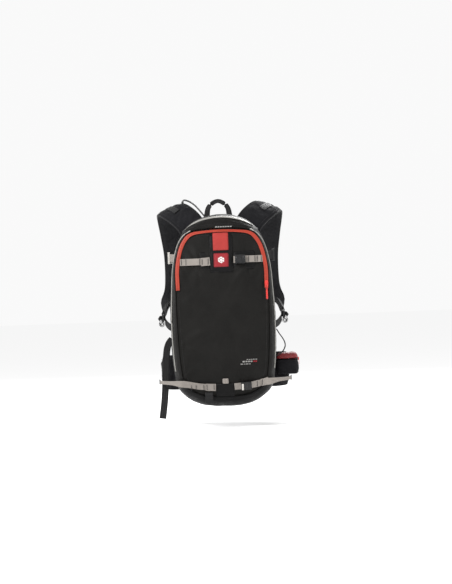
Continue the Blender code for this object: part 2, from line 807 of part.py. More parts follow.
def make_harness():
    """Shoulder straps, lower webbing, adjusters and hip wings, on both sides."""
    for side, sign in (("left", -1), ("right", 1)):
        shoulder = SHOULDER_PATH if sign > 0 else mirrored(SHOULDER_PATH)
        hip = HIP_PATH if sign > 0 else mirrored(HIP_PATH)
        ribbon(f"shoulder_strap_{side}", shoulder, "fabric_charcoal")
        ribbon(f"hip_wing_{side}", hip, "fabric_charcoal")
        centre = Vector((sign * 177, 74, -19))
        ladder_lock(f"strap_adjuster_{side}", centre, origin=centre + Vector((0, 12, 0)))
        route = [
            Vector((sign * 171.5, 76, -20)), Vector((sign * 168, 44, -32)),
            Vector((sign * 155, 14, -45)), Vector((sign * 128, -14, -56)),
        ]
        ribbon(f"lower_webbing_{side}", flat_path(route, (0, 0, 1)), "webbing_black", steps=3)
        make_side_adjuster(side, sign)


def make_sternum():
    """Chest strap: a rail on each shoulder strap, one webbing on sliders, and a buckle."""
    for side, sign in (("left", -1), ("right", 1)):
        rail = [(sign * STERNUM_RAIL_X, STERNUM_RAIL_Y, z) for z in STERNUM_RAIL_ENDS]
        make_tube(f"sternum_rail_{side}", rail, 2, 1, 2, "plastic_black")
    half = WEBBING / 2
    clip = 8
    near = STERNUM_RAIL_Y + 2.6
    far = near + 3
    jaw = STERNUM_RAIL_Y - 2
    outline = []
    for sign in (-1, 1):
        rail = STERNUM_RAIL_X
        jaws = [
            (rail - clip, near), (rail - clip, jaw), (rail - 2.6, jaw), (rail - 2.6, near),
            (rail + 2.6, near), (rail + 2.6, jaw), (rail + clip, jaw), (rail + clip, far),
        ]
        jaws = [(sign * x, y) for x, y in jaws]
        outline.extend(jaws[::-1] if sign < 0 else jaws)
    extrude_outline(
        "sternum_webbing", outline, STERNUM_Z - half, STERNUM_Z + half, "webbing_black",
        axis="Z", origin=(0, far, STERNUM_Z),
    )
    make_buckle("sternum", 8, STERNUM_Z, far + 0.5, far + 8.5, WEBBING, 20)


def make_hip_front():
    """Front webbing of the hip belt and its large buckle."""
    z = HIP_Z
    wing_side = [(75, HIP_FRONT_Y), (98, HIP_FRONT_Y - 4), (118.5, 229), (138, 212), (157.5, 193)]
    right = [Vector((x, y, z)) for x, y in wing_side]
    left = [Vector((-x, y, z)) for x, y in wing_side]
    route = [*left[::-1], Vector((0, HIP_FRONT_Y, z)), *right]
    ribbon("hip_webbing", flat_path(route, (0, 0, 1), width=38, thickness=1.8), "webbing_black", steps=2)
    make_buckle("hip", 14, z, HIP_FRONT_Y + 1.5, HIP_FRONT_Y + 12.5, 38, 34)


def inset_outline(outline, distance):
    """A closed outline moved inwards, with its corners kept sharp."""
    count = len(outline)
    points = [Vector(p) for p in outline]
    moved = []
    for i, point in enumerate(points):
        before = (point - points[i - 1]).normalized()
        after = (points[(i + 1) % count] - point).normalized()
        first = Vector((-before.y, before.x))
        second = Vector((-after.y, after.x))
        moved.append(point + (first + second) * distance / (1 + first.dot(second)))
    return moved


def make_pouch(name, outline, low, high, wall, colour):
    """A prism with a pocket that opens upwards. The outline runs anticlockwise."""
    bm = bmesh.new()
    inner = inset_outline(outline, wall)

    def ring(points, z):
        return [bm.verts.new((p[0], p[1], z)) for p in points]

    rings = [ring(outline, low), ring(outline, high), ring(inner, high), ring(inner, low + wall)]
    count = len(outline)
    for here, there in zip(rings, rings[1:]):
        for i in range(count):
            j = (i + 1) % count
            bm.faces.new((here[i], here[j], there[j], there[i]))
    bm.faces.new(rings[0])
    bm.faces.new(rings[-1])
    return add_solid(name, bm, colour)


def make_hip_pocket():
    """The zipped pocket that wraps the right hip wing, its red top, and its slider."""
    outline = [
        (152, -15), (197, -15), (207, -11), (212, 0), (212, 108), (205, 118),
        (190, 120), (189.5, 78), (177.5, 24), (160, 2), (152, -4),
    ]
    make_pouch("hip_pocket", outline, -194, -149, 2, "fabric_charcoal")
    bm = bmesh.new()
    rings = [
        [bm.verts.new((p[0], p[1], z)) for p in inset_outline(outline, inset)]
        for inset, z in ((0, -148.4), (0, -139), (2, -132), (4.5, -130))
    ]
    count = len(outline)
    for here, there in zip(rings, rings[1:]):
        for i in range(count):
            j = (i + 1) % count
            bm.faces.new((here[i], here[j], there[j], there[i]))
    bm.faces.new(rings[0])
    bm.faces.new(rings[-1])
    add_solid("hip_pocket_top", bm, "pocket_red")
    make_box(
        "hip_pocket_slider", (212.5, 10, -153), (216, 22, -145), "plastic_black",
        origin=(212.5, 16, -149), bevel=0.6,
    )


def make_trigger():
    """The trigger's fabric sleeve, its pull handle and the firing cable. The sleeve and the
    handle lie flat on the left shoulder strap, which is turned outwards across the chest."""
    sleeve = make_cup("trigger_sleeve", (-12, 0, 160), (12, 16, 205), 2, "-Z", "fabric_charcoal")
    grip = rounded_rectangle(-14, 14, 116, 156, 9)
    stem = [(-5, 156), (-5, 196), (5, 196), (5, 156)]
    outline = grip[:5] + stem[::-1] + grip[5:]
    handle = extrude_outline("trigger_handle", outline, 4, 12, "handle_red", origin=(0, 8, 156))
    add_bevel(handle, 1.2, segments=1)
    for item in (sleeve, handle):
        item.rotation_euler.z = TRIGGER_TURN
        turned = item.rotation_euler.to_matrix() @ item.location
        item.location = turned + TRIGGER_PLACE * MM
    make_tube("trigger_cable", CABLE_ROUTE, CABLE_RADIUS, 3, 2, "webbing_black")


def main():
    clear_scene()
    make_bag_skin()
    make_front_panel()
    make_back()
    make_airbag()
    make_cylinder()
    make_zip()
    make_zip_slider()
    make_piping()
    make_front_trim()
    make_front_straps()
    make_loops()
    make_harness()
    make_sternum()
    make_hip_front()
    make_hip_pocket()
    make_trigger()


main()
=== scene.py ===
"""The looks of an avalanche airbag backpack: fabrics, webbing, buckles and harness round its frame.

Helper functions work in millimetres and make_piece() turns them into metres. +Z is up, the wearer
stands on the +Y side, the pack's outer face looks along -Y, and +X is the wearer's right.
"""

import math

import bmesh
import bpy
from mathutils import Matrix, Vector, noise


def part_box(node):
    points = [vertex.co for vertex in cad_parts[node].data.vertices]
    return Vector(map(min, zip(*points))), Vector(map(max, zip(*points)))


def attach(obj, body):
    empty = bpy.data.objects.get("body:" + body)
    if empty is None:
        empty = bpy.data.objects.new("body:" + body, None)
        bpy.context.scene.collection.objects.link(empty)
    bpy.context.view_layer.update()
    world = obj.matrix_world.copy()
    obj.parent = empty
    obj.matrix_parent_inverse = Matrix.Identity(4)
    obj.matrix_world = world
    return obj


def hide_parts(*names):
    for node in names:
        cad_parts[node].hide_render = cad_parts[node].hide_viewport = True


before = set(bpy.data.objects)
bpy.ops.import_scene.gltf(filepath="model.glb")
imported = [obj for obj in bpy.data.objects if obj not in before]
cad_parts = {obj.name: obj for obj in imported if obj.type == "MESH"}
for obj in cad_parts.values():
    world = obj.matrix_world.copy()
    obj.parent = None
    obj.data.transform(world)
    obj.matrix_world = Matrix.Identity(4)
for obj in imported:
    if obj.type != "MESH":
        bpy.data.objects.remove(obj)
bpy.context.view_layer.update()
MM = 0.001

# ---------------------------------------------------------------- driving dimensions

# The bag: silhouette x and z, front seam x and z, from bottom centre up the side to top centre.
HALF_OUTLINE = [
    (0, -275, 0, -246),
    (63, -270, 58, -242),
    (108, -250, 96, -226),
    (136, -217, 117, -199),
    (145, -171, 124, -160),
    (150, -100, 129, -95),
    (151, -15, 131.5, -15),
    (146, 60, 132, 60),
    (140.5, 120, 132, 120),
    (129.5, 175, 122, 174),
    (114, 215, 106, 207),
    (93, 245, 84, 225),
    (53, 267, 47, 231),
    (0, 275, 0, 233),
]
STATIONS = 26
BOTTOM_SEAM = 3.17
COVER_SEAM = 10.5
BAG_DEPTH = 190
WEBBING = 20
UPPER_STRAP_Z = 141
CYLINDER = Vector((-80, -66, 0))
TRIGGER_AXIS_Y = 8
TRIGGER = Matrix.Translation((-154.3, 240.2, 0)) @ Matrix.Rotation(math.radians(21), 4, "Z")
STERNUM_Z = 110
STERNUM_RAIL_X = 127.5
HIP_Z = -184
SKIN = 1.6
SKIN_COLUMNS = 22
WEB = 1.6
FLOOR_M = -0.335
SEAM_GAP = 0.04
PAD_REAR_Y = -17.6
PAD_FACE_Y = -2.4
AIRBAG_Y = -84
SETTLING_STEPS = 20
OUTWARD = Vector((0, -1, 0))
LONG_STITCH = {"pitch": 5, "length": 3.4}
SHORT_STITCH = {"pitch": 4, "length": 2.8}

SHOULDER_PATH = [
    ((62, -9.5, 168), (1, 0, 0), 60, 11),
    ((72, -8.5, 215), (1, 0, -0.03), 72, 12),
    ((86, 0, 251), (0.98, 0, -0.2), 78, 13),
    ((112, 25, 279), (0.93, 0, -0.36), 78, 14),
    ((139, 62, 296), (0.92, 0, -0.39), 76, 14),
    ((150, 106, 294), (0.93, 0, -0.36), 72, 14),
    ((150, 158, 270), (0.95, 0, -0.3), 68, 14),
    ((146, 205, 229), (0.97, -0.15, -0.15), 64, 14),
    ((142, 234, 172), (0.93, -0.36, 0), 60, 13),
    ((142, 235, 95), (0.93, -0.36, 0), 58, 13),
    ((151, 224, 45), (0.85, -0.5, -0.1), 54, 12),
    ((170, 180, 8), (0.35, -0.45, -0.8), 44, 12),
    ((177, 92, -12), (0.1, -0.2, -0.97), 30, 11),
]
HIP_PATH = [
    ((84, -9.5, -177), (0, 0, 1), 92, 13),
    ((132, -3, -177), (0, 0, 1), 98, 14),
    ((166, 26, -177), (0, 0, 1), 98, 15),
    ((179, 78, -178), (0, 0, 1), 94, 15),
    ((174, 135, -180), (0, 0, 1), 84, 15),
    ((150, 187, -182), (0, 0, 1), 70, 14),
    ((112, 222, -184), (0, 0, 1), 54, 12),
]
CABLE_ROUTE = [
    (-8, -66, 112), (-4, -52, 130), (-10, -33, 158), (-20, -30.5, 186), (-24, -25, 203),
    (-26, -12, 214), (-27, -7, 232), (-34, 2, 258), (-50, 13, 282), (-75, 34, 311),
    (-99, 66, 324.5), (-108, 108, 320), (-110, 158, 296), (-112, 202, 261),
    (-121, 227, 240), (-140, 238, 226), (-156.5, 247, 208.5),
]
LEG_STRAP_ROUTE = [
    ((-130, -15.8, -66), (0.6, 0, 0.8)),
    ((-151, -15.4, -80), (0.75, 0, 0.6)),
    ((-165, -15, -103), (0.95, 0, 0.3)),
    ((-171, -13, -150), (1, 0, 0)),
    ((-174, -12, -205), (1, 0, 0)),
    ((-179, -13, -260), (1, 0, 0)),
    ((-186, -14, -309), (1, 0, 0)),
]


# ---------------------------------------------------------------- curves and surfaces


def spline_point(before, start, end, after, t):
    """Catmull-Rom between start and end."""
    return 0.5 * (
        2 * start
        + (end - before) * t
        + (2 * before - 5 * start + 4 * end - after) * t * t
        + (3 * start - before - 3 * end + after) * t ** 3
    )


def open_spline(points, steps):
    points = [Vector(p) for p in points]
    padded = [2 * points[0] - points[1], *points, 2 * points[-1] - points[-2]]
    curve = [
        spline_point(*padded[i : i + 4], k / steps)
        for i in range(len(points) - 1)
        for k in range(steps)
    ]
    return [*curve, points[-1]]


def outline_at(station):
    """The outline's row at any station, counted round the bag from the bottom centre."""
    whole = math.floor(station)
    rows = []
    for i in range(whole - 1, whole + 3):
        k = i % STATIONS
        x, z, seam_x, seam_z = HALF_OUTLINE[min(k, STATIONS - k)]
        side = 1 if k <= STATIONS / 2 else -1
        rows.append(Vector((side * x, z, side * seam_x, seam_z)))
    return spline_point(*rows, station - whole)


def front_y(x, z):
    """Where the bag's front face lies: deepest at the waist, tapered to the top and bottom."""
    top = 47 * (max(0, z + 20) / 249) ** 2.8
    bottom = 40 * (max(0, -110 - z) / 136) ** 2.5
    return -BAG_DEPTH + top + bottom + 10 * (x / 128) ** 2


def on_front(x, z, lift):
    return Vector((x, front_y(x, z) - lift, z))


def up_front(x, z):
    """The direction that runs up the front face at a place."""
    return (on_front(x, z + 5, 0) - on_front(x, z - 5, 0)).normalized()


def skin_column(station, steps=4):
    """The bag's outer skin at one station, from its back edge to its front seam."""
    edge_x, edge_z, seam_x, seam_z = outline_at(station)
    seam_y = front_y(seam_x, seam_z)
    corner = (edge_x + 0.55 * (seam_x - edge_x), seam_y + 11, edge_z + 0.5 * (seam_z - edge_z))
    layers = [
        (0.955 * edge_x, -22.6, 0.965 * edge_z),
        (edge_x, -42, edge_z),
        (edge_x + 0.05 * (seam_x - edge_x), (seam_y - 6) / 2, edge_z),
        (edge_x + 0.2 * (seam_x - edge_x), seam_y + 36, edge_z + 0.08 * (seam_z - edge_z)),
        corner,
        (seam_x, seam_y, seam_z),
    ]
    return open_spline(layers, steps)


def surface_normals(rows, sign):
    """Unit normals of a grid of points, from its neighbours."""
    normals = []
    for i, row in enumerate(rows):
        below, above = rows[max(i - 1, 0)], rows[min(i + 1, len(rows) - 1)]
        line = []
        for j in range(len(row)):
            across = row[min(j + 1, len(row) - 1)] - row[max(j - 1, 0)]
            line.append(sign * (above[j] - below[j]).cross(across).normalized())
        normals.append(line)
    return normals


def raise_surface(rows, height, sign=1):
    """The grid of points moved out along its normals by height(point, i, j), and the normals."""
    normals = surface_normals(rows, sign)
    moved = [
        [p + normals[i][j] * height(p, i, j) for j, p in enumerate(row)]
        for i, row in enumerate(rows)
    ]
    return moved, normals


def angles(count, closed=False):
    """Even steps round a circle; closed repeats the first at the end."""
    return [2 * math.pi * k / count for k in range(count + closed)]


def rounded(t, power_x, power_y):
    """A point of a unit rounded box: the lower the powers, the squarer it is."""
    c, s = math.cos(t), math.sin(t)
    return math.copysign(abs(c) ** power_x, c), math.copysign(abs(s) ** power_y, s)


def running_lengths(points):
    lengths = [0.0]
    for a, b in zip(points, points[1:]):
        lengths.append(lengths[-1] + (b - a).length)
    return lengths


def grid_mesh(rows, wrap=False, caps=False, bm=None, inner_from=None):
    """Faces over a grid of points. The weave's own coordinates, in metres, run across and along."""
    bm = bm or bmesh.new()
    uv = bm.loops.layers.uv.get("weave") or bm.loops.layers.uv.new("weave")
    middle = rows[len(rows) // 2]
    across = running_lengths([*middle, middle[0]] if wrap else middle)
    along = running_lengths([row[len(row) // 2] for row in rows])
    verts = [[bm.verts.new(p) for p in row] for row in rows]
    width = len(middle)
    for i in range(len(rows) - 1):
        for j in range(width if wrap else width - 1):
            k = (j + 1) % width
            face = bm.faces.new((verts[i][j], verts[i + 1][j], verts[i + 1][k], verts[i][k]))
            places = ((j, i), (j, i + 1), (j + 1, i + 1), (j + 1, i))
            for loop, (a, b) in zip(face.loops, places):
                loop[uv].uv = (across[a] * MM, along[b] * MM)
            face.material_index = int(inner_from is not None and j >= inner_from)
    if caps:
        bm.faces.new(verts[0])
        bm.faces.new(verts[-1][::-1])
    return bm


def thread_mesh():
    """An empty mesh with the weave's coordinates."""
    bm = bmesh.new()
    bm.loops.layers.uv.new("weave")
    return bm


def lay_weave_flat(bm):
    """Runs the weave straight across and up a panel, whatever way its rows go."""
    uv = bm.loops.layers.uv["weave"]
    for face in bm.faces:
        for corner in face.loops:
            corner[uv].uv = (corner.vert.co.x * MM, corner.vert.co.z * MM)


def panel_mesh(rings):
    """A flat panel from rings that shrink to its middle, closed there."""
    bm = grid_mesh(rings, wrap=True)
    bm.faces.new(list(bm.verts)[-len(rings[-1]):])
    lay_weave_flat(bm)
    return bm


def turn_outward(bm):
    """Turns an open sheet's faces to look away from the bag's middle."""
    middle = Vector((0, -100, 0))
    bm.normal_update()
    facing = sum(f.normal.dot(f.calc_center_median() - middle) * f.calc_area() for f in bm.faces)
    if facing < 0:
        bmesh.ops.reverse_faces(bm, faces=bm.faces)


def make_piece(name, bm, look, body, replaces=(), closed=True, sharp=40, looks=()):
    """A finished piece from a bmesh in millimetres, riding on its body."""
    if closed:
        bmesh.ops.recalc_face_normals(bm, faces=bm.faces)
    else:
        turn_outward(bm)
    bmesh.ops.scale(bm, vec=(MM, MM, MM), verts=bm.verts)
    mesh = bpy.data.meshes.new(name)
    bm.to_mesh(mesh)
    bm.free()
    for each in (look, *looks):
        mesh.materials.append(each)
    mesh.shade_smooth()
    mesh.set_sharp_from_angle(angle=math.radians(sharp))
    made = bpy.data.objects.new(name, mesh)
    bpy.context.scene.collection.objects.link(made)
    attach(made, body)
    if replaces:
        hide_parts(*replaces)
    return made


def add_thickness(piece, thickness, offset=-1):
    solidify = piece.modifiers.new("thickness", "SOLIDIFY")
    solidify.thickness = thickness * MM
    solidify.offset = offset


def add_bevel(piece, width):
    bevel = piece.modifiers.new("bevel", "BEVEL")
    bevel.width = width * MM
    bevel.segments = 2
    bevel.limit_method = "ANGLE"
    bevel.angle_limit = math.radians(40)


def add_subdivision(piece):
    subdivision = piece.modifiers.new("subdivision", "SUBSURF")
    subdivision.levels = 1
    subdivision.render_levels = 1


# ---------------------------------------------------------------- cloth


SOFT_PIECES = []


def soften(piece, caps, pressure, excess, press=None):
    """Marks a piece for the cloth simulation. caps holds how far, in mm, each vertex may move: 0 is
    sewn down. excess is the share of extra cloth, and press moves its points once it has settled."""
    SOFT_PIECES.append((piece, caps, press))
    held = piece.vertex_groups.new(name="held")
    for index, cap in enumerate(caps):
        held.add([index], max(0.0, 1 - cap / 1.5), "REPLACE")
    cloth = piece.modifiers.new("settle", "CLOTH")
    cloth.settings.quality = 5
    cloth.settings.mass = 0.2
    cloth.settings.tension_stiffness = 12
    cloth.settings.compression_stiffness = 12
    cloth.settings.shear_stiffness = 4
    cloth.settings.bending_stiffness = 0.15
    cloth.settings.air_damping = 2
    cloth.settings.use_pressure = True
    cloth.settings.uniform_pressure_force = pressure
    cloth.settings.shrink_min = -excess
    cloth.settings.vertex_group_mass = "held"
    cloth.settings.effector_weights.gravity = 0
    cloth.collision_settings.use_collision = False
    cloth.point_cache.frame_start = 1
    cloth.point_cache.frame_end = SETTLING_STEPS


def settle_cloth():
    """Steps all the soft pieces together, caps how far their points move, and keeps the result."""
    scene = bpy.context.scene
    shaped = []
    for piece, caps, press in SOFT_PIECES:
        for modifier in piece.modifiers:
            modifier.show_viewport = modifier.type == "CLOTH"
    for step in range(1, SETTLING_STEPS + 1):
        scene.frame_set(step)
    graph = bpy.context.evaluated_depsgraph_get()
    for piece, caps, press in SOFT_PIECES:
        settled = piece.evaluated_get(graph).data
        shaped.append([vertex.co.copy() for vertex in settled.vertices])
    for (piece, caps, press), places in zip(SOFT_PIECES, shaped):
        for vertex, place, cap in zip(piece.data.vertices, places, caps):
            moved = place - vertex.co
            if moved.length > cap * MM:
                moved = moved.normalized() * cap * MM
            vertex.co = vertex.co + moved
            if press:
                vertex.co = press(vertex.co / MM) * MM
        for modifier in list(piece.modifiers):
            if modifier.type == "CLOTH":
                piece.modifiers.remove(modifier)
            else:
                modifier.show_viewport = True
        if piece.vertex_groups:
            piece.vertex_groups.clear()
        piece.data.update()
    scene.frame_set(1)


# ---------------------------------------------------------------- materials


class Nodes:
    """Builds one material's nodes; an input is a socket or a plain number."""

    def __init__(self, name, colour, roughness, **sockets):
        self.material = bpy.data.materials.new(name)
        self.material.use_nodes = True
        self.tree = self.material.node_tree
        self.shader = self.tree.nodes["Principled BSDF"]
        self.shader.inputs["Base Color"].default_value = (*colour, 1)
        self.shader.inputs["Roughness"].default_value = roughness
        for socket, value in sockets.items():
            self.shader.inputs[socket.replace("_", " ")].default_value = value

    def feed(self, socket, value):
        if isinstance(value, bpy.types.NodeSocket):
            self.tree.links.new(value, socket)
        else:
            socket.default_value = value

    def node(self, kind, settings=None, **inputs):
        made = self.tree.nodes.new(f"ShaderNode{kind}")
        for key, value in (settings or {}).items():
            setattr(made, key, value)
        for key, value in inputs.items():
            self.feed(made.inputs[key.replace("_", " ")], value)
        return made

    def maths(self, operation, a, b=0.0, c=0.0):
        made = self.tree.nodes.new("ShaderNodeMath")
        made.operation = operation
        for socket, value in zip(made.inputs, (a, b, c)):
            self.feed(socket, value)
        return made.outputs[0]

    def weave_coordinates(self):
        """Across and along the fabric, in metres."""
        uv = self.node("UVMap", {"uv_map": "weave"})
        split = self.node("SeparateXYZ", Vector=uv.outputs["UV"])
        return split.outputs["X"], split.outputs["Y"]

    def wave(self, place, pitch, phase=0.0):
        """A sine along one coordinate, from -1 to 1."""
        angle = self.maths("MULTIPLY_ADD", place, 2 * math.pi / pitch, phase)
        return self.maths("SINE", angle)

    def patches(self, size, low, high, detail=3.0, seed=0.0):
        """Soft blotches over the piece, from low to high."""
        place = self.node("TexCoord").outputs["Object"]
        moved = self.node("Mapping", Vector=place)
        moved.inputs["Location"].default_value = (seed, seed * 0.7, -seed)
        cloud = self.node("TexNoise", Vector=moved.outputs["Vector"], Scale=1 / size, Detail=detail)
        spread = self.node("MapRange", Value=cloud.outputs["Fac"], From_Min=0.3, From_Max=0.7,
                           To_Min=low, To_Max=high)
        return spread.outputs["Result"]

    def shade(self, colour, factor):
        """Sets the base colour to a plain colour times a varying factor."""
        scale = self.node("VectorMath", {"operation": "SCALE"})
        scale.inputs[0].default_value = colour
        self.feed(scale.inputs["Scale"], factor)
        self.tree.links.new(scale.outputs[0], self.shader.inputs["Base Color"])

    def bump(self, height, depth, strength=1.0):
        """Relief of the given depth in metres, from a height between -1 and 1."""
        bump = self.node("Bump", Strength=strength, Distance=depth, Height=height)
        self.tree.links.new(bump.outputs["Normal"], self.shader.inputs["Normal"])


def plain_weave(n, pitch):
    across, along = n.weave_coordinates()
    return n.maths("MULTIPLY", n.wave(across, pitch), n.wave(along, pitch))


def ripstop(n, pitch, cell):
    """A fine plain weave with a raised thread each cell both ways."""
    across, along = n.weave_coordinates()
    weave = n.maths("MULTIPLY", n.wave(across, pitch), n.wave(along, pitch))
    ridges = n.maths("MAXIMUM", n.wave(across, cell), n.wave(along, cell))
    ridges = n.maths("MAXIMUM", n.maths("SUBTRACT", ridges, 0.93), 0.0)
    return n.maths("MULTIPLY_ADD", ridges, 16.0, n.maths("MULTIPLY", weave, 0.35))


def webbing_weave(n, rib, pitch):
    """Lengthwise ribs that lean one way and the other, as in herringbone webbing."""
    across, along = n.weave_coordinates()
    zigzag = n.maths("PINGPONG", across, rib)
    slanted = n.maths("MULTIPLY_ADD", zigzag, 1.0, along)
    ribs = n.wave(across, rib)
    return n.maths("MULTIPLY_ADD", n.wave(slanted, pitch), 0.6, n.maths("MULTIPLY", ribs, 0.4))


def spacer_mesh(n, pitch):
    """Open mesh over foam: staggered holes."""
    across, along = n.weave_coordinates()
    first = n.maths("MULTIPLY", n.wave(across, pitch), n.wave(along, pitch * 1.6))
    return n.maths("ABSOLUTE", first)


def plain(pitch):
    return lambda n: plain_weave(n, pitch)


def herringbone(rib, pitch):
    return lambda n: webbing_weave(n, rib, pitch)


def fabric(name, colour, roughness, pattern, depth, contrast=0.18, mottle=0.16, blotch=0.06, **sockets):
    """Woven cloth: its pattern in relief and in shade, with soft uneven wear."""
    n = Nodes(name, colour, roughness, **sockets)
    height = pattern(n)
    worn = n.patches(blotch, 1 - mottle, 1 + mottle)
    threads = n.maths("MULTIPLY_ADD", height, contrast, 1.0)
    n.shade(colour, n.maths("MULTIPLY", worn, threads))
    rough = n.patches(0.03, roughness - 0.07, min(roughness + 0.07, 1.0), seed=3.0)
    n.feed(n.shader.inputs["Roughness"], rough)
    n.bump(height, depth)
    return n.material


def plastic(name, colour, roughness, grain=0.00005, **sockets):
    """Moulded plastic: a fine spark-eroded grain and convex edges made a little lighter."""
    n = Nodes(name, colour, roughness, **sockets)
    edges = n.node("NewGeometry").outputs["Pointiness"]
    lighter_edges = n.node("MapRange", Value=edges, From_Min=0.5, From_Max=0.62, To_Min=1.0, To_Max=1.8)
    n.shade(colour, n.maths("MULTIPLY", lighter_edges.outputs["Result"], n.patches(0.02, 0.85, 1.15)))
    place = n.node("TexCoord").outputs["Object"]
    spots = n.node("TexNoise", Vector=place, Scale=2500.0, Detail=2.0)
    n.feed(n.shader.inputs["Roughness"], n.patches(0.012, roughness - 0.08, roughness + 0.08, seed=1.0))
    n.bump(spots.outputs["Fac"], grain)
    return n.material


def brushed_metal(name, colour, roughness, axis, **sockets):
    """Metal drawn or turned along one axis, with streaks in its gloss."""
    n = Nodes(name, colour, roughness, Metallic=1.0, **sockets)
    stretch = [900.0, 900.0, 900.0]
    stretch[axis] = 12.0
    mapped = n.node("Mapping", Vector=n.node("TexCoord").outputs["Object"])
    mapped.inputs["Scale"].default_value = stretch
    lines = n.node("TexNoise", Vector=mapped.outputs["Vector"], Scale=1.0, Detail=2.0)
    spread = n.node("MapRange", Value=lines.outputs["Fac"], From_Min=0.3, From_Max=0.7,
                    To_Min=roughness - 0.1, To_Max=roughness + 0.15)
    n.feed(n.shader.inputs["Roughness"], spread.outputs["Result"])
    n.shade(colour, n.patches(0.02, 0.88, 1.08))
    n.bump(lines.outputs["Fac"], 0.00004)
    return n.material


def make_looks():
    """Every material of the pack, by name."""
    sheen = {"Sheen_Weight": 0.01, "Sheen_Roughness": 0.5, "Specular_IOR_Level": 0.09}
    looks = {
        "bag": fabric("bag_nylon", (0.0074, 0.007, 0.0064), 0.56, lambda n: ripstop(n, 0.0012, 0.0048),
                      0.00012, **sheen),
        "side": fabric("side_nylon", (0.0088, 0.0086, 0.008), 0.6, plain(0.0014),
                       0.00012, **sheen),
        "lid": fabric("lid_nylon", (0.005, 0.0045, 0.0041), 0.52, plain(0.0014),
                      0.00012, **sheen),
        "patch": fabric("coated_patch", (0.0048, 0.0047, 0.0048), 0.45, plain(0.001),
                        0.00005, contrast=0.08, Specular_IOR_Level=0.1),
        "harness": fabric("harness_knit", (0.0092, 0.0091, 0.0106), 0.75, plain(0.0018),
                          0.0002, Sheen_Weight=0.02, Sheen_Roughness=0.4, Specular_IOR_Level=0.1),
        "mesh": fabric("spacer_mesh", (0.014, 0.014, 0.0152), 0.85, lambda n: spacer_mesh(n, 0.0048),
                       0.0006, contrast=0.5, Specular_IOR_Level=0.1),
        "binding": fabric("edge_binding", (0.008, 0.008, 0.0088), 0.6, herringbone(0.002, 0.0016),
                          0.00015, Specular_IOR_Level=0.2),
        "grey": fabric("grey_webbing", (0.235, 0.212, 0.192), 0.7, herringbone(0.0034, 0.0022),
                       0.00025, contrast=0.14, mottle=0.1, Specular_IOR_Level=0.2),
        "black": fabric("black_webbing", (0.0068, 0.0066, 0.007), 0.55,
                        herringbone(0.0034, 0.0022), 0.00025, Specular_IOR_Level=0.25),
        "zip": fabric("zip_coating", (0.315, 0.034, 0.017), 0.4, plain(0.0016),
                      0.00006, contrast=0.05, mottle=0.08, Specular_IOR_Level=0.3),
        "red": fabric("red_webbing", (0.305, 0.028, 0.024), 0.6, plain(0.002),
                      0.00012, contrast=0.1, mottle=0.08, Specular_IOR_Level=0.2),
        "label": fabric("label_red", (0.235, 0.015, 0.02), 0.5, plain(0.001),
                        0.00006, contrast=0.06, mottle=0.06, Specular_IOR_Level=0.2),
        "pocket_red": fabric("pocket_red", (0.165, 0.004, 0.006), 0.5, plain(0.0016),
                             0.0001, contrast=0.12),
        "reflective": fabric("reflective_tape", (0.25, 0.243, 0.225), 0.38, plain(0.0012),
                             0.00006, contrast=0.1, mottle=0.12),
        "airbag": fabric("airbag_nylon", (0.6, 0.13, 0.016), 0.5, plain(0.0014),
                         0.0001, contrast=0.1),
        "thread": fabric("thread", (0.017, 0.017, 0.0175), 0.6, plain(0.001), 0.0001),
        "light_thread": fabric("light_thread", (0.2, 0.185, 0.17), 0.6, plain(0.001),
                               0.0001),
        "print": fabric("print_grey", (0.2, 0.195, 0.185), 0.5, plain(0.001), 0.00003,
                        contrast=0.04, mottle=0.2),
        "white": fabric("print_white", (0.75, 0.74, 0.72), 0.55, plain(0.001), 0.00003,
                        contrast=0.04, mottle=0.06),
        "plastic": plastic("buckle_plastic", (0.0055, 0.0055, 0.006), 0.3, Specular_IOR_Level=0.4),
        # A pale plastic look that paints a highlight: on the gleam bar at the lower buckle's mouth, and on
        # the left side adjuster.
        "pale_painted_highlight": plastic("pale_painted_highlight", (0.36, 0.345, 0.32), 0.4),
        "red_plastic": plastic("trigger_plastic", (0.4, 0.018, 0.013), 0.34),
        "jacket": plastic("cable_jacket", (0.009, 0.009, 0.009), 0.42, grain=0.00002),
        "stay": brushed_metal("stay_aluminium", (0.62, 0.62, 0.63), 0.36, 2),
        "cylinder": brushed_metal("cylinder_aluminium", (0.64, 0.64, 0.65), 0.3, 2),
    }
    return looks


LOOK = make_looks()


# ---------------------------------------------------------------- stage, light and camera


def make_camera():
    """Level with the pack, seven metres behind the wearer, and tilted as the wearer leans."""
    roll = math.radians(2.1)
    camera = bpy.data.objects.new("camera", bpy.data.cameras.new("camera"))
    bpy.context.scene.collection.objects.link(camera)
    right = Vector((math.cos(roll), 0, -math.sin(roll)))
    up = Vector((math.sin(roll), 0, math.cos(roll)))
    turn = Matrix((right, up, right.cross(up))).transposed()
    camera.matrix_world = Matrix.Translation((0.0105, -7.19, 0.0514)) @ turn.to_4x4()
    camera.data.lens = 152.5
    camera.data.sensor_width = 36
    camera.data.clip_end = 50
    bpy.context.scene.camera = camera


def make_area_light(name, place, size, power):
    """A square light that looks at the middle of the pack."""
    light = bpy.data.objects.new(name, bpy.data.lights.new(name, "AREA"))
    light.data.shape = "SQUARE"
    light.data.size = size
    light.data.energy = power
    bpy.context.scene.collection.objects.link(light)
    light.location = place
    light.rotation_mode = "QUATERNION"
    light.rotation_quaternion = (-Vector(place)).to_track_quat("-Z", "Y")


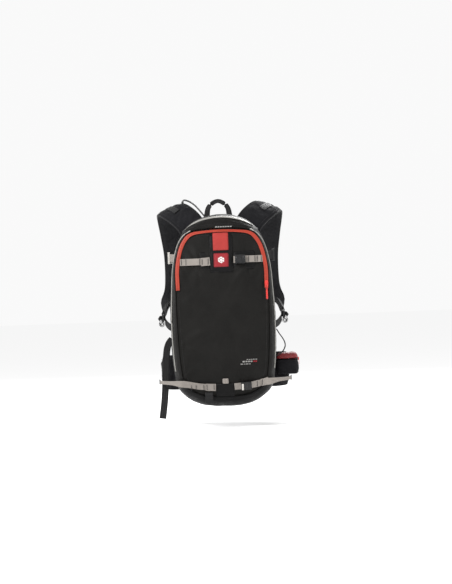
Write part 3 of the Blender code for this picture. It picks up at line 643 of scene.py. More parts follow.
def make_stage():
    """A pale floor, soft light all round, and three area lights."""
    bm = bmesh.new()
    bmesh.ops.create_grid(bm, x_segments=1, y_segments=1, size=30)
    mesh = bpy.data.meshes.new("floor")
    bm.to_mesh(mesh)
    bm.free()
    floor = bpy.data.objects.new("floor", mesh)
    bpy.context.scene.collection.objects.link(floor)
    floor.location.z = FLOOR_M
    pale = Nodes("floor_pale", (0.97, 0.97, 0.97), 0.9, Specular_IOR_Level=0.0)
    mesh.materials.append(pale.material)
    world = bpy.data.worlds.new("studio")
    world.use_nodes = True
    world.node_tree.nodes["Background"].inputs["Color"].default_value = (1, 1, 1, 1)
    world.node_tree.nodes["Background"].inputs["Strength"].default_value = 0.95
    bpy.context.scene.world = world
    bpy.context.scene.view_settings.view_transform = "Standard"
    make_area_light("key", (-2.1, -1.9, 2.1), 1.1, 100)
    make_area_light("fill", (2.3, -1.8, 0.9), 1.3, 22)
    make_area_light("back", (0.9, 2.5, 2.0), 1.3, 80)


# ---------------------------------------------------------------- straps, stitching and tubes


def turn_across(path_points, across_points):
    """A frame at each point of a path: along, across and out."""
    frames = []
    last = len(path_points) - 1
    for i in range(len(path_points)):
        along = (path_points[min(i + 1, last)] - path_points[max(i - 1, 0)]).normalized()
        across = across_points[i]
        across = (across - along * across.dot(along)).normalized()
        frames.append((along, across, along.cross(across)))
    return frames


def sample_path(path, steps):
    """A harness path made smooth: points, width directions, widths and thicknesses."""
    rows = open_spline([(*p, *w, wide, thick) for p, w, wide, thick in path], steps)
    points = [Vector(row[0:3]) for row in rows]
    across = [Vector(row[3:6]) for row in rows]
    return points, across, [row[6] for row in rows], [row[7] for row in rows]


def flat_path(points, across, width=WEBBING, thickness=WEB):
    return [(tuple(p), tuple(across), width, thickness) for p in points]


def mirrored(path):
    return [((-p[0], p[1], p[2]), (-w[0], w[1], w[2]), wide, thick) for p, w, wide, thick in path]


def webbing_mesh(path, steps=6, ripple=0.25, bm=None):
    """Webbing along a path: rounded selvedges and a slight wave, cut square at its ends."""
    points, across, widths, thicks = sample_path(path, steps)
    upper = [(-0.97, 0.42), (-0.86, 0.5), (-0.5, 0.44), (0, 0.4), (0.5, 0.44), (0.86, 0.5), (0.97, 0.42)]
    profile = [(-1, 0), *upper, (1, 0), *((a, -b) for a, b in upper[::-1])]
    rows = []
    for i, (_, side, out) in enumerate(turn_across(points, across)):
        wave = ripple * noise.noise(points[i] / 14)
        rows.append(
            [points[i] + side * a * widths[i] / 2 + out * (b * thicks[i] + wave) for a, b in profile]
        )
    return grid_mesh(rows, wrap=True, caps=True, bm=bm)


def strap(name, path, look, slot=None, body="pack", replaces=(), **shape):
    """A piece of webbing. Its slot argument is not used."""
    bm = webbing_mesh(path, **shape)
    return make_piece(name, bm, LOOK[look], body, replaces, sharp=50)


def stitch_line(bm, points, normals, pitch=4.2, length=3.0, size=0.55, lift=0.25):
    """Thread stitches along a line, each a small lens that dips in at both ends."""
    lengths = running_lengths(points)
    count = max(1, int(lengths[-1] / pitch))
    k = 0
    for s in range(count):
        place = (s + 0.5) * lengths[-1] / count
        while k < len(points) - 2 and lengths[k + 1] < place:
            k += 1
        share = (place - lengths[k]) / max(lengths[k + 1] - lengths[k], 1e-6)
        centre = points[k].lerp(points[k + 1], share)
        along = (points[k + 1] - points[k]).normalized()
        out = normals[k].normalized()
        side = along.cross(out).normalized()
        centre = centre + out * lift
        tips = [bm.verts.new(centre + along * sign * length / 2 - out * 0.3) for sign in (-1, 1)]
        ring = [
            bm.verts.new(centre + (side * math.cos(t) + out * math.sin(t)) * size)
            for t in (0, math.pi / 2, math.pi, 1.5 * math.pi)
        ]
        for a, b in zip(ring, ring[1:] + ring[:1]):
            bm.faces.new((tips[0], b, a))
            bm.faces.new((tips[1], a, b))
    return bm


def stitching(name, lines, look, slot, body="pack", **options):
    bm = thread_mesh()
    for points, normals in lines:
        stitch_line(bm, points, normals, **options)
    return make_piece(name, bm, LOOK[look], body, sharp=180)


def tube_rows(points, radius, sides=10, flat=1.0, up=Vector((0, 0, 1))):
    """Rings round a smooth line; radius may vary along it."""
    rows = []
    for i, (_, across, out) in enumerate(turn_across(points, [up] * len(points))):
        r = radius(i) if callable(radius) else radius
        rows.append(
            [
                points[i] + (across * math.cos(t) + out * math.sin(t) * flat) * r
                for t in angles(sides)
            ]
        )
    return rows


def tube(name, points, radius, look, slot, replaces=(), **shape):
    bm = grid_mesh(tube_rows(points, radius, **shape), wrap=True, caps=True)
    return make_piece(name, bm, LOOK[look], "pack", replaces, sharp=60)


# ---------------------------------------------------------------- the bag


def crumple(point, edge, size=1.0):
    """How far soft fabric stands out: low folds and small creases, pinched in at its seams."""
    near = math.exp(-edge / 9)
    broad = noise.noise(Vector((point.x / 60, point.y / 60, point.z / 75)))
    fine = noise.noise(Vector((point.x / 19, point.y / 19, point.z / 15)) + Vector((5, 9, 2)))
    pucker = noise.noise(Vector((point.x / 5, point.y / 5, point.z / 5))) * math.exp(-edge / 14)
    return size * ((2.4 * broad + 1.3 * fine) * (1 - near) + 0.7 * pucker) - 1.5 * near


def even_points(column, from_edge, to_edge):
    """Evenly spaced points along part of a line; the part is given as shares of its length."""
    lengths = running_lengths(column)
    low, high = from_edge * lengths[-1], to_edge * lengths[-1]
    picked = []
    k = 0
    for m in range(SKIN_COLUMNS + 1):
        place = low + (high - low) * m / SKIN_COLUMNS
        while k < len(column) - 2 and lengths[k + 1] < place:
            k += 1
        share = (place - lengths[k]) / (lengths[k + 1] - lengths[k])
        picked.append(column[k].lerp(column[k + 1], share))
    return picked


def skin_panel(first, last, body_steps, size=1.0, from_edge=0.0, to_edge=1.0):
    """Raised rows of one skin panel, and its normals."""
    count = max(4, round((last - first) * body_steps))
    stations = [first + (last - first) * i / count for i in range(count + 1)]
    rows = []
    for s in stations:
        rows.append(even_points(skin_column(s), from_edge, to_edge))
    side = running_lengths([row[10] for row in rows])

    def height(p, i, j):
        across = min((p - rows[i][0]).length, (p - rows[i][-1]).length)
        return crumple(p, min(across, side[i], side[-1] - side[i]), size)

    return raise_surface(rows, height, sign=-1)


def skin_piece(name, first, last, look, slot, replaces, body="pack", size=1.0, body_steps=9, **span):
    rows, normals = skin_panel(first, last, body_steps, size, **span)
    bm = grid_mesh(rows)
    piece = make_piece(name, bm, LOOK[look], body, replaces, closed=False)
    add_thickness(piece, SKIN)
    return rows, normals


def seam_lines(rows, normals, columns):
    """Lines along the panel at the given columns, for stitching."""
    return [([row[c] for row in rows], [line[c] for line in normals]) for c in columns]


def make_bag_sides():
    """Left and right gussets with a seam up the middle, the bottom and the airbag's cover."""
    full = STATIONS
    spans = {
        "right": (BOTTOM_SEAM, COVER_SEAM - SEAM_GAP),
        "left": (full - COVER_SEAM + SEAM_GAP, full - BOTTOM_SEAM),
    }
    for side, (first, last) in spans.items():
        lines = []
        back = skin_piece(
            f"side_panel_{side}", first, last, "side", "bag_fabric", [f"gusset_{side}"], size=1.3, to_edge=0.7
        )
        lines += seam_lines(*back, (1, 21))
        front = skin_piece(
            f"side_front_{side}", first, last, "bag", "bag_fabric", (), from_edge=0.7, size=0.7
        )
        lines += seam_lines(*front, (2, 19))
        stitching(f"side_stitches_{side}", lines, "thread", "bag_fabric", **LONG_STITCH)
    bottom = skin_piece(
        "bottom_skin", -BOTTOM_SEAM, BOTTOM_SEAM, "patch", "bag_fabric", ["bottom_panel"], body_steps=8
    )
    stitching("bottom_stitches", seam_lines(*bottom, (1, 21)), "thread", "bag_fabric", **LONG_STITCH)
    cover = skin_piece(
        "cover_skin", COVER_SEAM + SEAM_GAP, full - COVER_SEAM - SEAM_GAP, "lid", "bag_fabric",
        ["airbag_cover"], body="airbag_cover", to_edge=0.985,
    )
    stitching(
        "cover_stitches", seam_lines(*cover, (4, 20)), "thread", "bag_fabric", body="airbag_cover",
        **LONG_STITCH,
    )
    for side, sign in (("right", 1), ("left", -1)):
        station = COVER_SEAM if sign > 0 else full - COVER_SEAM
        column = skin_column(station, steps=8)[2:-1]
        rows = []
        for i, p in enumerate(column):
            along = (column[min(i + 1, len(column) - 1)] - column[max(i - 1, 0)]).normalized()
            out = along.cross(Vector((-sign * 0.72, 0, 0.69))).normalized()
            if out.dot(p - Vector((0, p.y, 100))) < 0:
                out = -out
            across = along.cross(out).normalized()
            rows.append([p + across * a + out * lift
                         for a, lift in ((-4.5, 0.8), (-4.1, 2.0), (0, 2.6), (4.1, 2.0), (4.5, 0.8))])
        bm = grid_mesh(rows)
        piece = make_piece(f"burst_seam_{side}", bm, LOOK["binding"], "pack", closed=False)
        add_thickness(piece, 0.8)


def seam_loop(steps=6):
    return [outline_at(i / steps) for i in range(STATIONS * steps)]


FOLD_ANCHORS = [
    (-126, -200, 60), (126, -200, 55), (-30, -222, 32), (28, -222, 32), (-122, 138, 38), (121, 140, 42),
    (70, 128, 34), (-66, 130, 30), (-131, 20, 34), (131, 10, 30), (-128, -90, 40), (128, -100, 36),
]


def tension_folds(x, z, depth):
    """Creases that fan out from the places where straps and seams pull on the cloth."""
    total = 0.0
    for k, (at_x, at_z, reach) in enumerate(FOLD_ANCHORS):
        away = math.hypot(x - at_x, z - at_z)
        if away > 3.2 * reach:
            continue
        angle = math.atan2(z - at_z, x - at_x)
        crease = noise.noise(Vector((3.1 * math.cos(angle), 3.1 * math.sin(angle), 7.0 * k + away / 70)))
        total += depth * crease * math.exp(-away / reach) * min(1.0, away / 14)
    return total


def front_relief(x, z, edge):
    """Folds of the front panel, with drag lines that run in to the lower straps."""
    point = Vector((x, 0, z))
    belly = 2.2 * max(0.0, 1 - (x / 115) ** 2) * max(0.0, 1 - ((z + 55) / 150) ** 2)
    low = math.exp(-((z + 190) / 45) ** 2)
    drag = 2.2 * low * noise.noise(Vector(((abs(x) * 0.8 + z) / 17, 0, (abs(x) - z) / 70)))
    high = math.exp(-((z - 100) / 30) ** 2) * min(1.0, abs(x) / 60)
    drag += 1.8 * high * noise.noise(Vector(((abs(x) * 0.5 - z) / 13, 3, (abs(x) + z) / 60)))
    held = max(
        math.exp(-((z - UPPER_STRAP_Z) / 22) ** 2),
        math.exp(-((z + 212) / 22) ** 2),
        math.exp(-((x - 68) / 40) ** 2 - ((z + 148) / 20) ** 2),
    )
    folds = tension_folds(x, z, 12.0 * (1 - 0.5 * held)) * (1 - math.exp(-edge / 7))
    return crumple(point, edge, 1.2 - 0.3 * held) + belly + drag + folds


def make_front():
    """The front panel inside its seam, with a row of stitching round it."""
    loop = [Vector((row[2], row[3])) for row in seam_loop()]
    rings = 26
    rows = []
    for k in range(rings + 1):
        share = 1 - k / rings
        share = share ** 0.85 if share > 0 else 0.02
        row = []
        for p in loop:
            x, z = p.x * share, p.y * share - 6 * (1 - share)
            edge = (p - Vector((x, z))).length
            row.append(on_front(x, z, front_relief(x, z, edge * 0.7)))
        rows.append(row)
    bm = panel_mesh(rows)
    piece = make_piece("front_skin", bm, LOOK["bag"], "pack", ["front_panel"], closed=False)
    add_thickness(piece, SKIN)
    ring = [*rows[2], rows[2][0]]
    stitching("front_stitches", [(ring, [OUTWARD] * len(ring))], "thread", "bag_fabric", **LONG_STITCH)


def inset_path(inset, low_z):
    """The seam line moved inwards, from its right lower end over the top to its left lower end."""
    loop = [Vector((row[2], row[3])) for row in seam_loop()]
    moved = []
    for i, p in enumerate(loop):
        along = (loop[(i + 1) % len(loop)] - loop[i - 1]).normalized()
        moved.append(p + Vector((-along.y, along.x)) * inset)
    return [p for p in moved if p.y > low_z]


def make_zip():
    """Coated zip tape, its coil down the middle, and the closed ends."""
    path = inset_path(6.4, 58)
    frames = []
    for i, p in enumerate(path):
        along = (path[min(i + 1, len(path) - 1)] - path[max(i - 1, 0)]).normalized()
        narrowed = 4.0 * max(0.0, 1 - (abs(p.x) / 95) ** 4) * (p.y > 150)
        frames.append((p, Vector((-along.y, along.x)), 11.0 - narrowed))

    def zip_line(share, lift):
        """The line at a share of the tape's half-width from its middle."""
        places = [p + inward * share * wide / 2 for p, inward, wide in frames]
        return [on_front(q.x, q.y, lift) for q in places]

    profile = [(-1, 1.4), (-0.94, 2.7), (-0.5, 3.0), (-0.16, 3.1), (-0.05, 2.3)]
    profile += [(-share, lift) for share, lift in profile[::-1]]
    bm = grid_mesh(list(zip(*(zip_line(share, lift) for share, lift in profile))))
    piece = make_piece("zip_tape", bm, LOOK["zip"], "pack", ["main_zip"], closed=False)
    add_thickness(piece, 1.0)
    lines = [(zip_line(share, 2.9), [OUTWARD] * len(path)) for share in (-0.72, 0.72)]
    stitching("zip_stitches", lines, "red", "red_zip", **SHORT_STITCH, size=0.4)


def make_piping():
    """Light reflective piping up both sides, and the wider tape over the top of the cover."""
    for side, sign in (("right", 1), ("left", -1)):
        points = []
        count = 60
        for i in range(count + 1):
            station = 4 + (COVER_SEAM + 0.55 - 4) * i / count
            column = skin_column(station, steps=12)
            forward = 39 + 17 * max(0.0, min(1.0, (station - 8.6) / 2.0)) ** 1.5
            points.append(column[round(forward)] + Vector((1.0, -1.2, 0)))
        points = [Vector((sign * p.x, p.y, p.z)) for p in points]
        tube(f"piping_cord_{side}", points, 1.8, "reflective", "reflective_piping", [f"piping_{side}"])
    rows = []
    first, last = COVER_SEAM + 0.12, STATIONS - COVER_SEAM - 0.12
    count = 70
    for i in range(count + 1):
        share = i / count
        column = skin_column(first + (last - first) * share, steps=12)
        ends = min(share, 1 - share)
        half = 1.6 + 3.9 * max(0.0, min(1.0, (ends - 0.08) / 0.1)) ** 0.7
        middle = 40
        centre = column[middle]
        along = (column[middle + 2] - column[middle - 2]).normalized()
        out = Vector((0, -0.75, 0.66))
        if abs(centre.x) >= 60:
            out = Vector((0.5 * centre.x / abs(centre.x), -0.7, 0.5))
        rows.append([centre + along * half * a + out.normalized() * lift
                     for a, lift in ((-1, 0.6), (-0.8, 1.6), (0, 1.9), (0.8, 1.6), (1, 0.6))])
    bm = grid_mesh(rows)
    piece = make_piece("cover_tape", bm, LOOK["reflective"], "airbag_cover",
                       closed=False)
    add_thickness(piece, 0.8)


# ---------------------------------------------------------------- webbing and trim on the front


def bartack(bm, centre, along, across, out, length=17, width=2.2):
    """A dense zigzag of thread across a strap."""
    steps = 9
    for k in range(steps):
        a = centre + across * (length * (k / steps - 0.5)) + out * 0.35
        b = centre + across * (length * ((k + 1) / steps - 0.5)) + out * 0.35
        lean = along * (width / 2 if k % 2 else -width / 2)
        stitch_line(bm, [a + lean, b - lean], [out, out], pitch=50, length=(b - a).length + width, size=0.75)


def bartacks(name, places, look, slot, body="pack", **options):
    bm = thread_mesh()
    for centre, along, across, out in places:
        bartack(bm, Vector(centre), Vector(along), Vector(across), Vector(out).normalized(), **options)
    return make_piece(name, bm, LOOK[look], body, sharp=180)


def front_frame(x, z, lift):
    """A place on the front with its directions: along X, up the face and out of it."""
    up = up_front(x, z)
    return on_front(x, z, lift), Vector((1, 0, 0)), up, up.cross(Vector((-1, 0, 0)))


def front_path(marks, width=WEBBING):
    """A strap path on the front through marks of x, z and lift."""
    return [(on_front(x, z, lift), up_front(x, z), width, WEB) for x, z, lift in marks]


def front_plate(name, corners, lift, thickness, look, cells=(8, 14), radius=2.0, replaces=()):
    """A flat piece sewn to the front: corners are x0, x1, z0, z1; it follows the front's curve."""
    x0, x1, z0, z1 = corners
    columns, rows = cells
    grid = []
    for j in range(rows + 1):
        z = z0 + (z1 - z0) * j / rows
        inset = max(0.0, radius - min(z - z0, z1 - z)) ** 2 / radius
        line = []
        for i in range(columns + 1):
            x = x0 + inset + (x1 - x0 - 2 * inset) * i / columns
            edge = min(i, columns - i, j, rows - j) == 0
            line.append(on_front(x, z, lift + thickness - (0.5 if edge else 0.0)))
        grid.append(line)
    piece = make_piece(name, grid_mesh(grid), LOOK[look], "pack", replaces, closed=False)
    add_thickness(piece, thickness)


def plate_border(corners, lift, inset):
    """The line round a front plate, a little inside its edge, for stitching."""
    x0, x1, z0, z1 = corners
    x0, x1, z0, z1 = x0 + inset, x1 - inset, z0 + inset, z1 - inset
    ends = [(x0, z0), (x1, z0), (x1, z1), (x0, z1), (x0, z0)]
    line = []
    for (xa, za), (xb, zb) in zip(ends, ends[1:]):
        line += [on_front(xa + (xb - xa) * k / 10, za + (zb - za) * k / 10, lift) for k in range(10)]
    return line, [OUTWARD] * len(line)


def make_label():
    """The black patch under the lid with its red strap, red label and a plain snow crystal."""
    patch = (-33.5, 33.5, 108, 218)
    front_plate("label_backing", patch, 0.6, 1.4, "patch", replaces=["label_patch"])
    strip = (-22, 22, 170.5, 221)
    label = (-21, 21, 123, 162)
    front_plate("red_strip", strip, 2.3, 1.1, "red", replaces=["red_tab"], radius=0.8)
    front_plate("red_label", label, 2.2, 0.9, "label", radius=1.5)
    borders = [plate_border(patch, 2.1, 2.5), plate_border(label, 3.2, 1.6)]
    stitching("label_stitches", borders, "thread", "black_webbing", **SHORT_STITCH, size=0.45)
    bm = thread_mesh()
    centre, right, up, out = front_frame(0, 143, 3.4)

    def bar(start, end, width):
        a, b = (centre + right * p[0] + up * p[1] for p in (start, end))
        along = (b - a).normalized()
        side = along.cross(out) * width / 2
        low = [bm.verts.new(p + s) for p, s in ((a, -side), (b, -side), (b, side), (a, side))]
        high = [bm.verts.new(v.co + out * 0.3) for v in low]
        bm.faces.new(high)
        for i in range(4):
            bm.faces.new((low[i], low[(i + 1) % 4], high[(i + 1) % 4], high[i]))

    for arm in range(6):
        turn = Matrix.Rotation(math.radians(60 * arm + 30), 2)
        bar(turn @ Vector((0.8, 0)), turn @ Vector((9.5, 0)), 2.0)
        for sign in (-1, 1):
            bar(turn @ Vector((5.0, 0)), turn @ Vector((8.0, 3.4 * sign)), 1.5)
    make_piece("snow_crystal", bm, LOOK["white"], "pack")
    make_print()


def make_print():
    """Rows of plain dashes where such packs carry small print, low on the front and on the lid."""
    rows = [
        (-143, 2.6, ((62, 66), (67.5, 73), (74.5, 78), (79.5, 85), (86.5, 92)), "print"),
        (-149.5, 4.2, ((50, 57), (58.5, 64), (65.5, 71), (72.5, 78.5)), "print"),
        (-149.5, 4.2, ((81, 85), (86.5, 91)), "label"),
        (-155.5, 2.4, ((44, 52), (53.5, 58), (59.5, 67), (68.5, 73)), "print"),
    ]
    for k, (z, height, spans, look) in enumerate(rows):
        for i, (x0, x1) in enumerate(spans):
            corners = (x0, x1, z, z + height)
            front_plate(f"print_{k}_{i}", corners, 4.2, 0.15, look, cells=(3, 2), radius=0.4)
    bm = bmesh.new()
    for k in range(7):
        x0 = -14 + 7 * k
        shape = [(x0, 236), (x0 + 5.2, 236), (x0 + 6, 239.4), (x0 + 0.8, 239.4)]
        near = [on_front(x, z, 2.6) for x, z in shape]
        bm.faces.new([bm.verts.new(p) for p in near])
    piece = make_piece("lid_marks", bm, LOOK["print"], "airbag_cover", closed=False)
    add_thickness(piece, 0.3, offset=1)


def buckle_outline(length, height):
    """Half of a female buckle's outline, mouth at 0, with the notch that bares its prong."""
    half = height / 2
    return [
        (0, half - 1.4), (0.05 * length, half - 0.4), (0.18 * length, half), (0.3 * length, half),
        (0.36 * length, half - 1.0), (0.4 * length, half - 3.2), (0.6 * length, half - 3.2),
        (0.66 * length, half - 1.0), (0.74 * length, half), (0.9 * length, half - 0.2),
        (0.97 * length, half - 1.2), (length, half - 3.0),
    ]


def plate_of(bm, outline, place, low, high):
    """A prism from an outline; place turns (a, b, depth) into a point."""
    near = [bm.verts.new(place(a, b, low)) for a, b in outline]
    far = [bm.verts.new(place(a, b, high)) for a, b in outline]
    count = len(outline)
    bm.faces.new(near)
    bm.faces.new(far)
    for i in range(count):
        j = (i + 1) % count
        bm.faces.new((near[i], near[j], far[j], far[i]))


def make_buckle(prefix, mouth, right, up, out, length, height, depth, male_body, female_body="pack"):
    """A side-release buckle, mouth towards +right: a ribbed female shell, and a male fork."""

    def female_place(a, b, d):
        return mouth - right * a + up * b + out * d

    def male_place(a, b, d):
        return mouth + right * a + up * b + out * d

    half = buckle_outline(length, height)
    outline = half + [(a, -b) for a, b in half[::-1]]
    bm = bmesh.new()
    plate_of(bm, outline, female_place, -depth / 2, depth / 2)
    for k in range(3):
        a = length * (0.74 + 0.08 * k)
        b = height * 0.3
        rib = [(a - 0.5, b), (a + 0.5, b), (a + 0.5, -b), (a - 0.5, -b)]
        plate_of(bm, rib, female_place, depth / 2 - 0.3, depth / 2 + 0.55)
    arrow = ((0.1, 0.2), (0.5, 0.2), (0.62, 0), (0.5, -0.2), (0.1, -0.2))
    shield = [(length * a, height * b) for a, b in arrow]
    plate_of(bm, shield, female_place, depth / 2 - 0.3, depth / 2 + 0.45)
    female = make_piece(
        f"{prefix}_socket", bm, LOOK["plastic"], female_body, [f"{prefix}_buckle_female"]
    )
    add_bevel(female, 0.55)
    half_height = height / 2
    bar = height * 0.42
    tail = length * 0.55
    tips = half_height - 0.3
    fork = [
        (tail, bar), (tail - 1.5, half_height - 0.6), (1.5, half_height), (0, half_height - 0.8),
        (0, tips - 2.0), (-0.34 * length, tips - 1.8), (-0.42 * length, tips), (-0.56 * length, tips),
        (-0.72 * length, tips - 2.6), (-0.72 * length, tips - 4.4), (-0.1 * length, tips - 4.6),
        (-0.1 * length, 1.3), (-0.5 * length, 1.3),
    ]
    outline = fork + [(a, -b) for a, b in fork[::-1]]
    bm = bmesh.new()
    plate_of(bm, outline, male_place, -depth * 0.27, depth * 0.27)
    for a in (tail * 0.3, tail * 0.62, tail * 0.94):
        rib = [(a - 0.9, bar), (a + 0.9, bar), (a + 0.9, -bar), (a - 0.9, -bar)]
        plate_of(bm, rib, male_place, depth * 0.1, depth * 0.45)
    male = make_piece(
        f"{prefix}_fork", bm, LOOK["plastic"], male_body, [f"{prefix}_buckle_male"]
    )
    add_bevel(male, 0.4)


def make_upper_straps():
    """The grey compression strap at the top: its sewn ends, turned-back tails and buckle."""
    z = UPPER_STRAP_Z
    strap("upper_webbing_left", front_path([(x, z - 1.5, 2.6) for x in (-117, -95, -72, -50, -34)]),
          "grey", replaces=["upper_strap_left"])
    tail = [(-57, z - 2.5, 4.2), (-46, z - 2, 5.0), (-32, z - 1, 4.4)]
    strap("upper_tail_left", front_path(tail, width=24), "grey")
    strap("upper_webbing_right", front_path([(x, z + 2, 2.6) for x in (69, 82, 96, 117)]),
          "grey", replaces=["upper_strap_right"])
    strap("upper_tail_right", front_path([(74, z + 2, 4.4), (88, z + 2, 4.5), (99, z + 2, 4.2)], width=19),
          "grey")
    strap("upper_anchor_right", front_path([(35, z + 1.5, 2.8), (38, z + 1.5, 3.6), (43, z + 1.5, 7.5)]),
          "grey")
    make_reinforcement()
    place, right, up, out = front_frame(58, z + 2, 10.6)
    make_buckle("upper", place, right, up, out, 19, 26, 7.0, "upper_buckle_male")
    tacks = [front_frame(x, z - 1.5, 3.4) for x in (-113, -100, -61)]
    tacks += [front_frame(x, z - 2, 5.5) for x in (-54, -37)]
    tacks += [front_frame(x, z + 2, 5.3) for x in (78, 96)] + [front_frame(x, z + 2, 3.4) for x in (103, 114)]
    bartacks("upper_bartacks", tacks, "thread", "grey_webbing")


def make_lower_straps():
    """The grey strap at the bottom, which runs round to the hip belt, with its buckle and flap."""
    for side, sign in (("left", -1), ("right", 1)):
        marks = [(30, -218, 3.2), (52, -216.5, 3.2), (75, -214, 3.2), (106, -208, 3.6)]
        path = front_path([(sign * x, zz, lift) for x, zz, lift in marks])
        if sign > 0:
            path = path[2:]
        wing = [(129, -173, -205, 18), (151, -142, -203, 12), (176, -76, -203, 10),
                (188, -10, -204, 10), (191.5, 44, -204.5, 11)]
        path += [((sign * x, y, zz), (0, 0, 1), width, 1.6) for x, y, zz, width in wing]
        strap(f"lower_webbing_front_{side}", path, "grey", replaces=[f"lower_strap_{side}"])
    for side, sign in (("left", -1), ("right", 1)):
        ends = [(189.4, 14, -204), (191.6, 36, -204.4), (192.3, 52, -204.6)]
        path = flat_path([(sign * (x + 0.9), y, z) for x, y, z in ends], (0, 0, 1), width=14)
        strap(f"lower_anchor_patch_{side}", path, "black", steps=4)
    strap("lower_tail_left", front_path([(-57, -216.5, 4.8), (-44, -217.5, 5.4), (-28, -218, 5.0)], width=23),
          "grey")
    strap("lower_pad_right", front_path([(101, -209, 5.0), (112, -206.5, 5.2), (123, -203, 4.4)], width=22),
          "grey")
    strap("lower_anchor_right", front_path([(25, -217.5, 3.0), (36, -217, 4.0), (45, -216.5, 7.0)], width=21),
          "grey")
    place, right, up, out = front_frame(63, -216, 13.0)
    make_buckle("lower", place, right, up, out, 19, 25, 7.0, "lower_buckle_male")
    link = [(66, -215.5, 11), (76, -214, 8.5), (88, -212, 4.8), (96, -210.5, 4.2)]
    strap("lower_link_right", front_path(link), "grey")
    tacks = [front_frame(x, -217, 4.2) for x in (-62, -84, -97)]
    tacks += [front_frame(x, -217, 6.4) for x in (-53, -33)]
    tacks += [front_frame(x, -208, 6.2) for x in (104, 120)] + [front_frame(90, -211.5, 5.8)]
    bartacks("lower_bartacks", tacks, "thread", "grey_webbing")
    # A pale bar at the lower buckle's mouth: a painted highlight, standing for the gleam along the buckle's
    # edge.
    bm = bmesh.new()
    place, right, up, out = front_frame(48.5, -216.5, 9.5)
    bar = [(-2.6, -9.5), (2.6, -9.5), (2.6, 9.5), (-2.6, 9.5)]
    plate_of(bm, bar, lambda a, b, d: place + right * a + up * b + out * d, -1.5, 8.4)
    glint_bar = make_piece("lower_buckle_glint_bar", bm, LOOK["pale_painted_highlight"], "pack")
    add_bevel(glint_bar, 0.8)
    flap = (-28, 26, -246, -208)
    front_plate("lower_flap", flap, 0.5, 1.2, "patch", cells=(10, 10), radius=3)
    stitching("lower_flap_stitches", [plate_border(flap, 1.8, 2.2)], "thread", "black_webbing",
              **SHORT_STITCH, size=0.4)
    tab = (-8.5, 8.5, -208.5, -194)
    front_plate("centre_tab", tab, 1.2, 2.4, "grey", cells=(4, 5), radius=1)


def make_reinforcement():
    """The coated patch behind the upper buckle, and its match on the left."""
    for side, sign in (("right", 1), ("left", -1)):
        x0, x1 = sorted((sign * 34.5, sign * (96 if sign > 0 else 62)))
        corners = (x0, x1, 116, 166)
        front_plate(f"reinforcement_{side}", corners, 0.2, 1.0, "patch", radius=3)
        stitching(f"reinforcement_stitches_{side}", [plate_border(corners, 1.5, 2.2)], "thread",
                  "black_webbing", **SHORT_STITCH, size=0.4)


def make_zip_slider():
    """The slider, with its bridge, and the knotted cord pull that hangs from it."""
    low = on_front(126.2, 64, 5.8)
    bm = bmesh.new()
    shape = [(-4.2, 1), (-3, -1), (3, -1), (4.2, 1), (5, 8), (4.4, 13), (2.5, 16.5), (-2.5, 16.5),
             (-4.4, 13), (-5, 8)]
    plate_of(bm, shape, lambda a, b, d: low + Vector((a, -d, b)), 0, 2.2)
    bridge = [(-1.3, 2.5), (1.3, 2.5), (1.3, 12), (-1.3, 12)]
    plate_of(bm, bridge, lambda a, b, d: low + Vector((a, -d, b)), 2.0, 4.2)
    slider = make_piece("slider_body", bm, LOOK["red_plastic"], "zip_slider", ["zip_slider"])
    add_bevel(slider, 0.5)
    pivot = Vector((low.x, low.y - 5.6, low.z + 4))
    loop = [
        pivot + Vector((x, y, z)) for x, y, z in
        ((0, 0.6, 1.4), (1.6, 0, 0), (2.0, 0, -6), (1.5, 0, -12), (1.0, 0, -18), (0.9, 0, -22))
    ]
    other = [Vector((2 * pivot.x - p.x, p.y, p.z)) for p in loop]
    rows = tube_rows(open_spline(other[::-1] + loop[1:], 4), 1.0, sides=8, up=Vector((0, 1, 0)))
    bm = grid_mesh(rows, wrap=True, caps=True)
    tab_line = [pivot + Vector((0, 0, z)) for z in range(-17, -42, -1)]
    knots = [2.6 + 0.3 * math.sin(i) for i in range(14)]
    width = [2.0, 2.6, 2.8, 2.8, 2.5, 2.4, *knots, 2.8, 2.7, 2.3, 1.6, 0.6]
    rows = tube_rows(tab_line, lambda i: width[i], sides=12, up=Vector((1, 0, 0)), flat=0.5)
    bm = grid_mesh(rows, wrap=True, caps=True, bm=bm)
    make_piece("pull_cord", bm, LOOK["red_plastic"], "zip_pull", ["zip_pull"])


def make_loops():
    """The axe loop, the grab handle and the side loop."""
    axe = [
        on_front(-48, -231, 2.6), on_front(-48, -235, 7), on_front(-48, -243, 11),
        on_front(-48, -252, 10), Vector((-48, -147, -263)),
    ]
    strap("axe_webbing", flat_path(axe, (1, 0, 0), width=22), "black", replaces=["axe_loop"])
    bartacks("axe_bartacks", [front_frame(-48, -230, 4)], "thread", "black_webbing")
    marks = [
        (-37, -16.4, 232), (-37, -16.2, 268), (-30, -15, 300), (-4, -14, 316), (22, -15, 300),
        (29, -16.2, 268), (29, -16.4, 232),
    ]
    widths = (17, 17, 14, 12, 14, 17, 17)
    turns = ((1, 0, 0), (1, 0, 0), (0.9, 0, 0.5), (0, 0, 1), (-0.9, 0, 0.5), (-1, 0, 0), (-1, 0, 0))
    strap("carry_handle", [(p, a, w, 3.2) for p, a, w in zip(marks, turns, widths)], "black",
          replaces=["grab_handle"])
    bow = [(152, -60), (160, -74), (171, -91), (175.5, -108), (168.5, -124), (152, -138)]
    loop = [(x, -58, z) for x, z in bow]
    strap("side_webbing_loop", flat_path(loop, (0, 1, 0), thickness=3.0), "black",
          replaces=["side_loop_right"])


def make_leg_strap():
    """The limp strap that hangs from the bag's left rear edge: 0.26 m long and 20 mm wide."""
    path = [(point, across, WEBBING, 1.8) for point, across in LEG_STRAP_ROUTE]
    piece = strap("hanging_leg_strap", path, "black", steps=5, replaces=["leg_strap"], ripple=0.1)


# ---------------------------------------------------------------- back panel, pads and harness


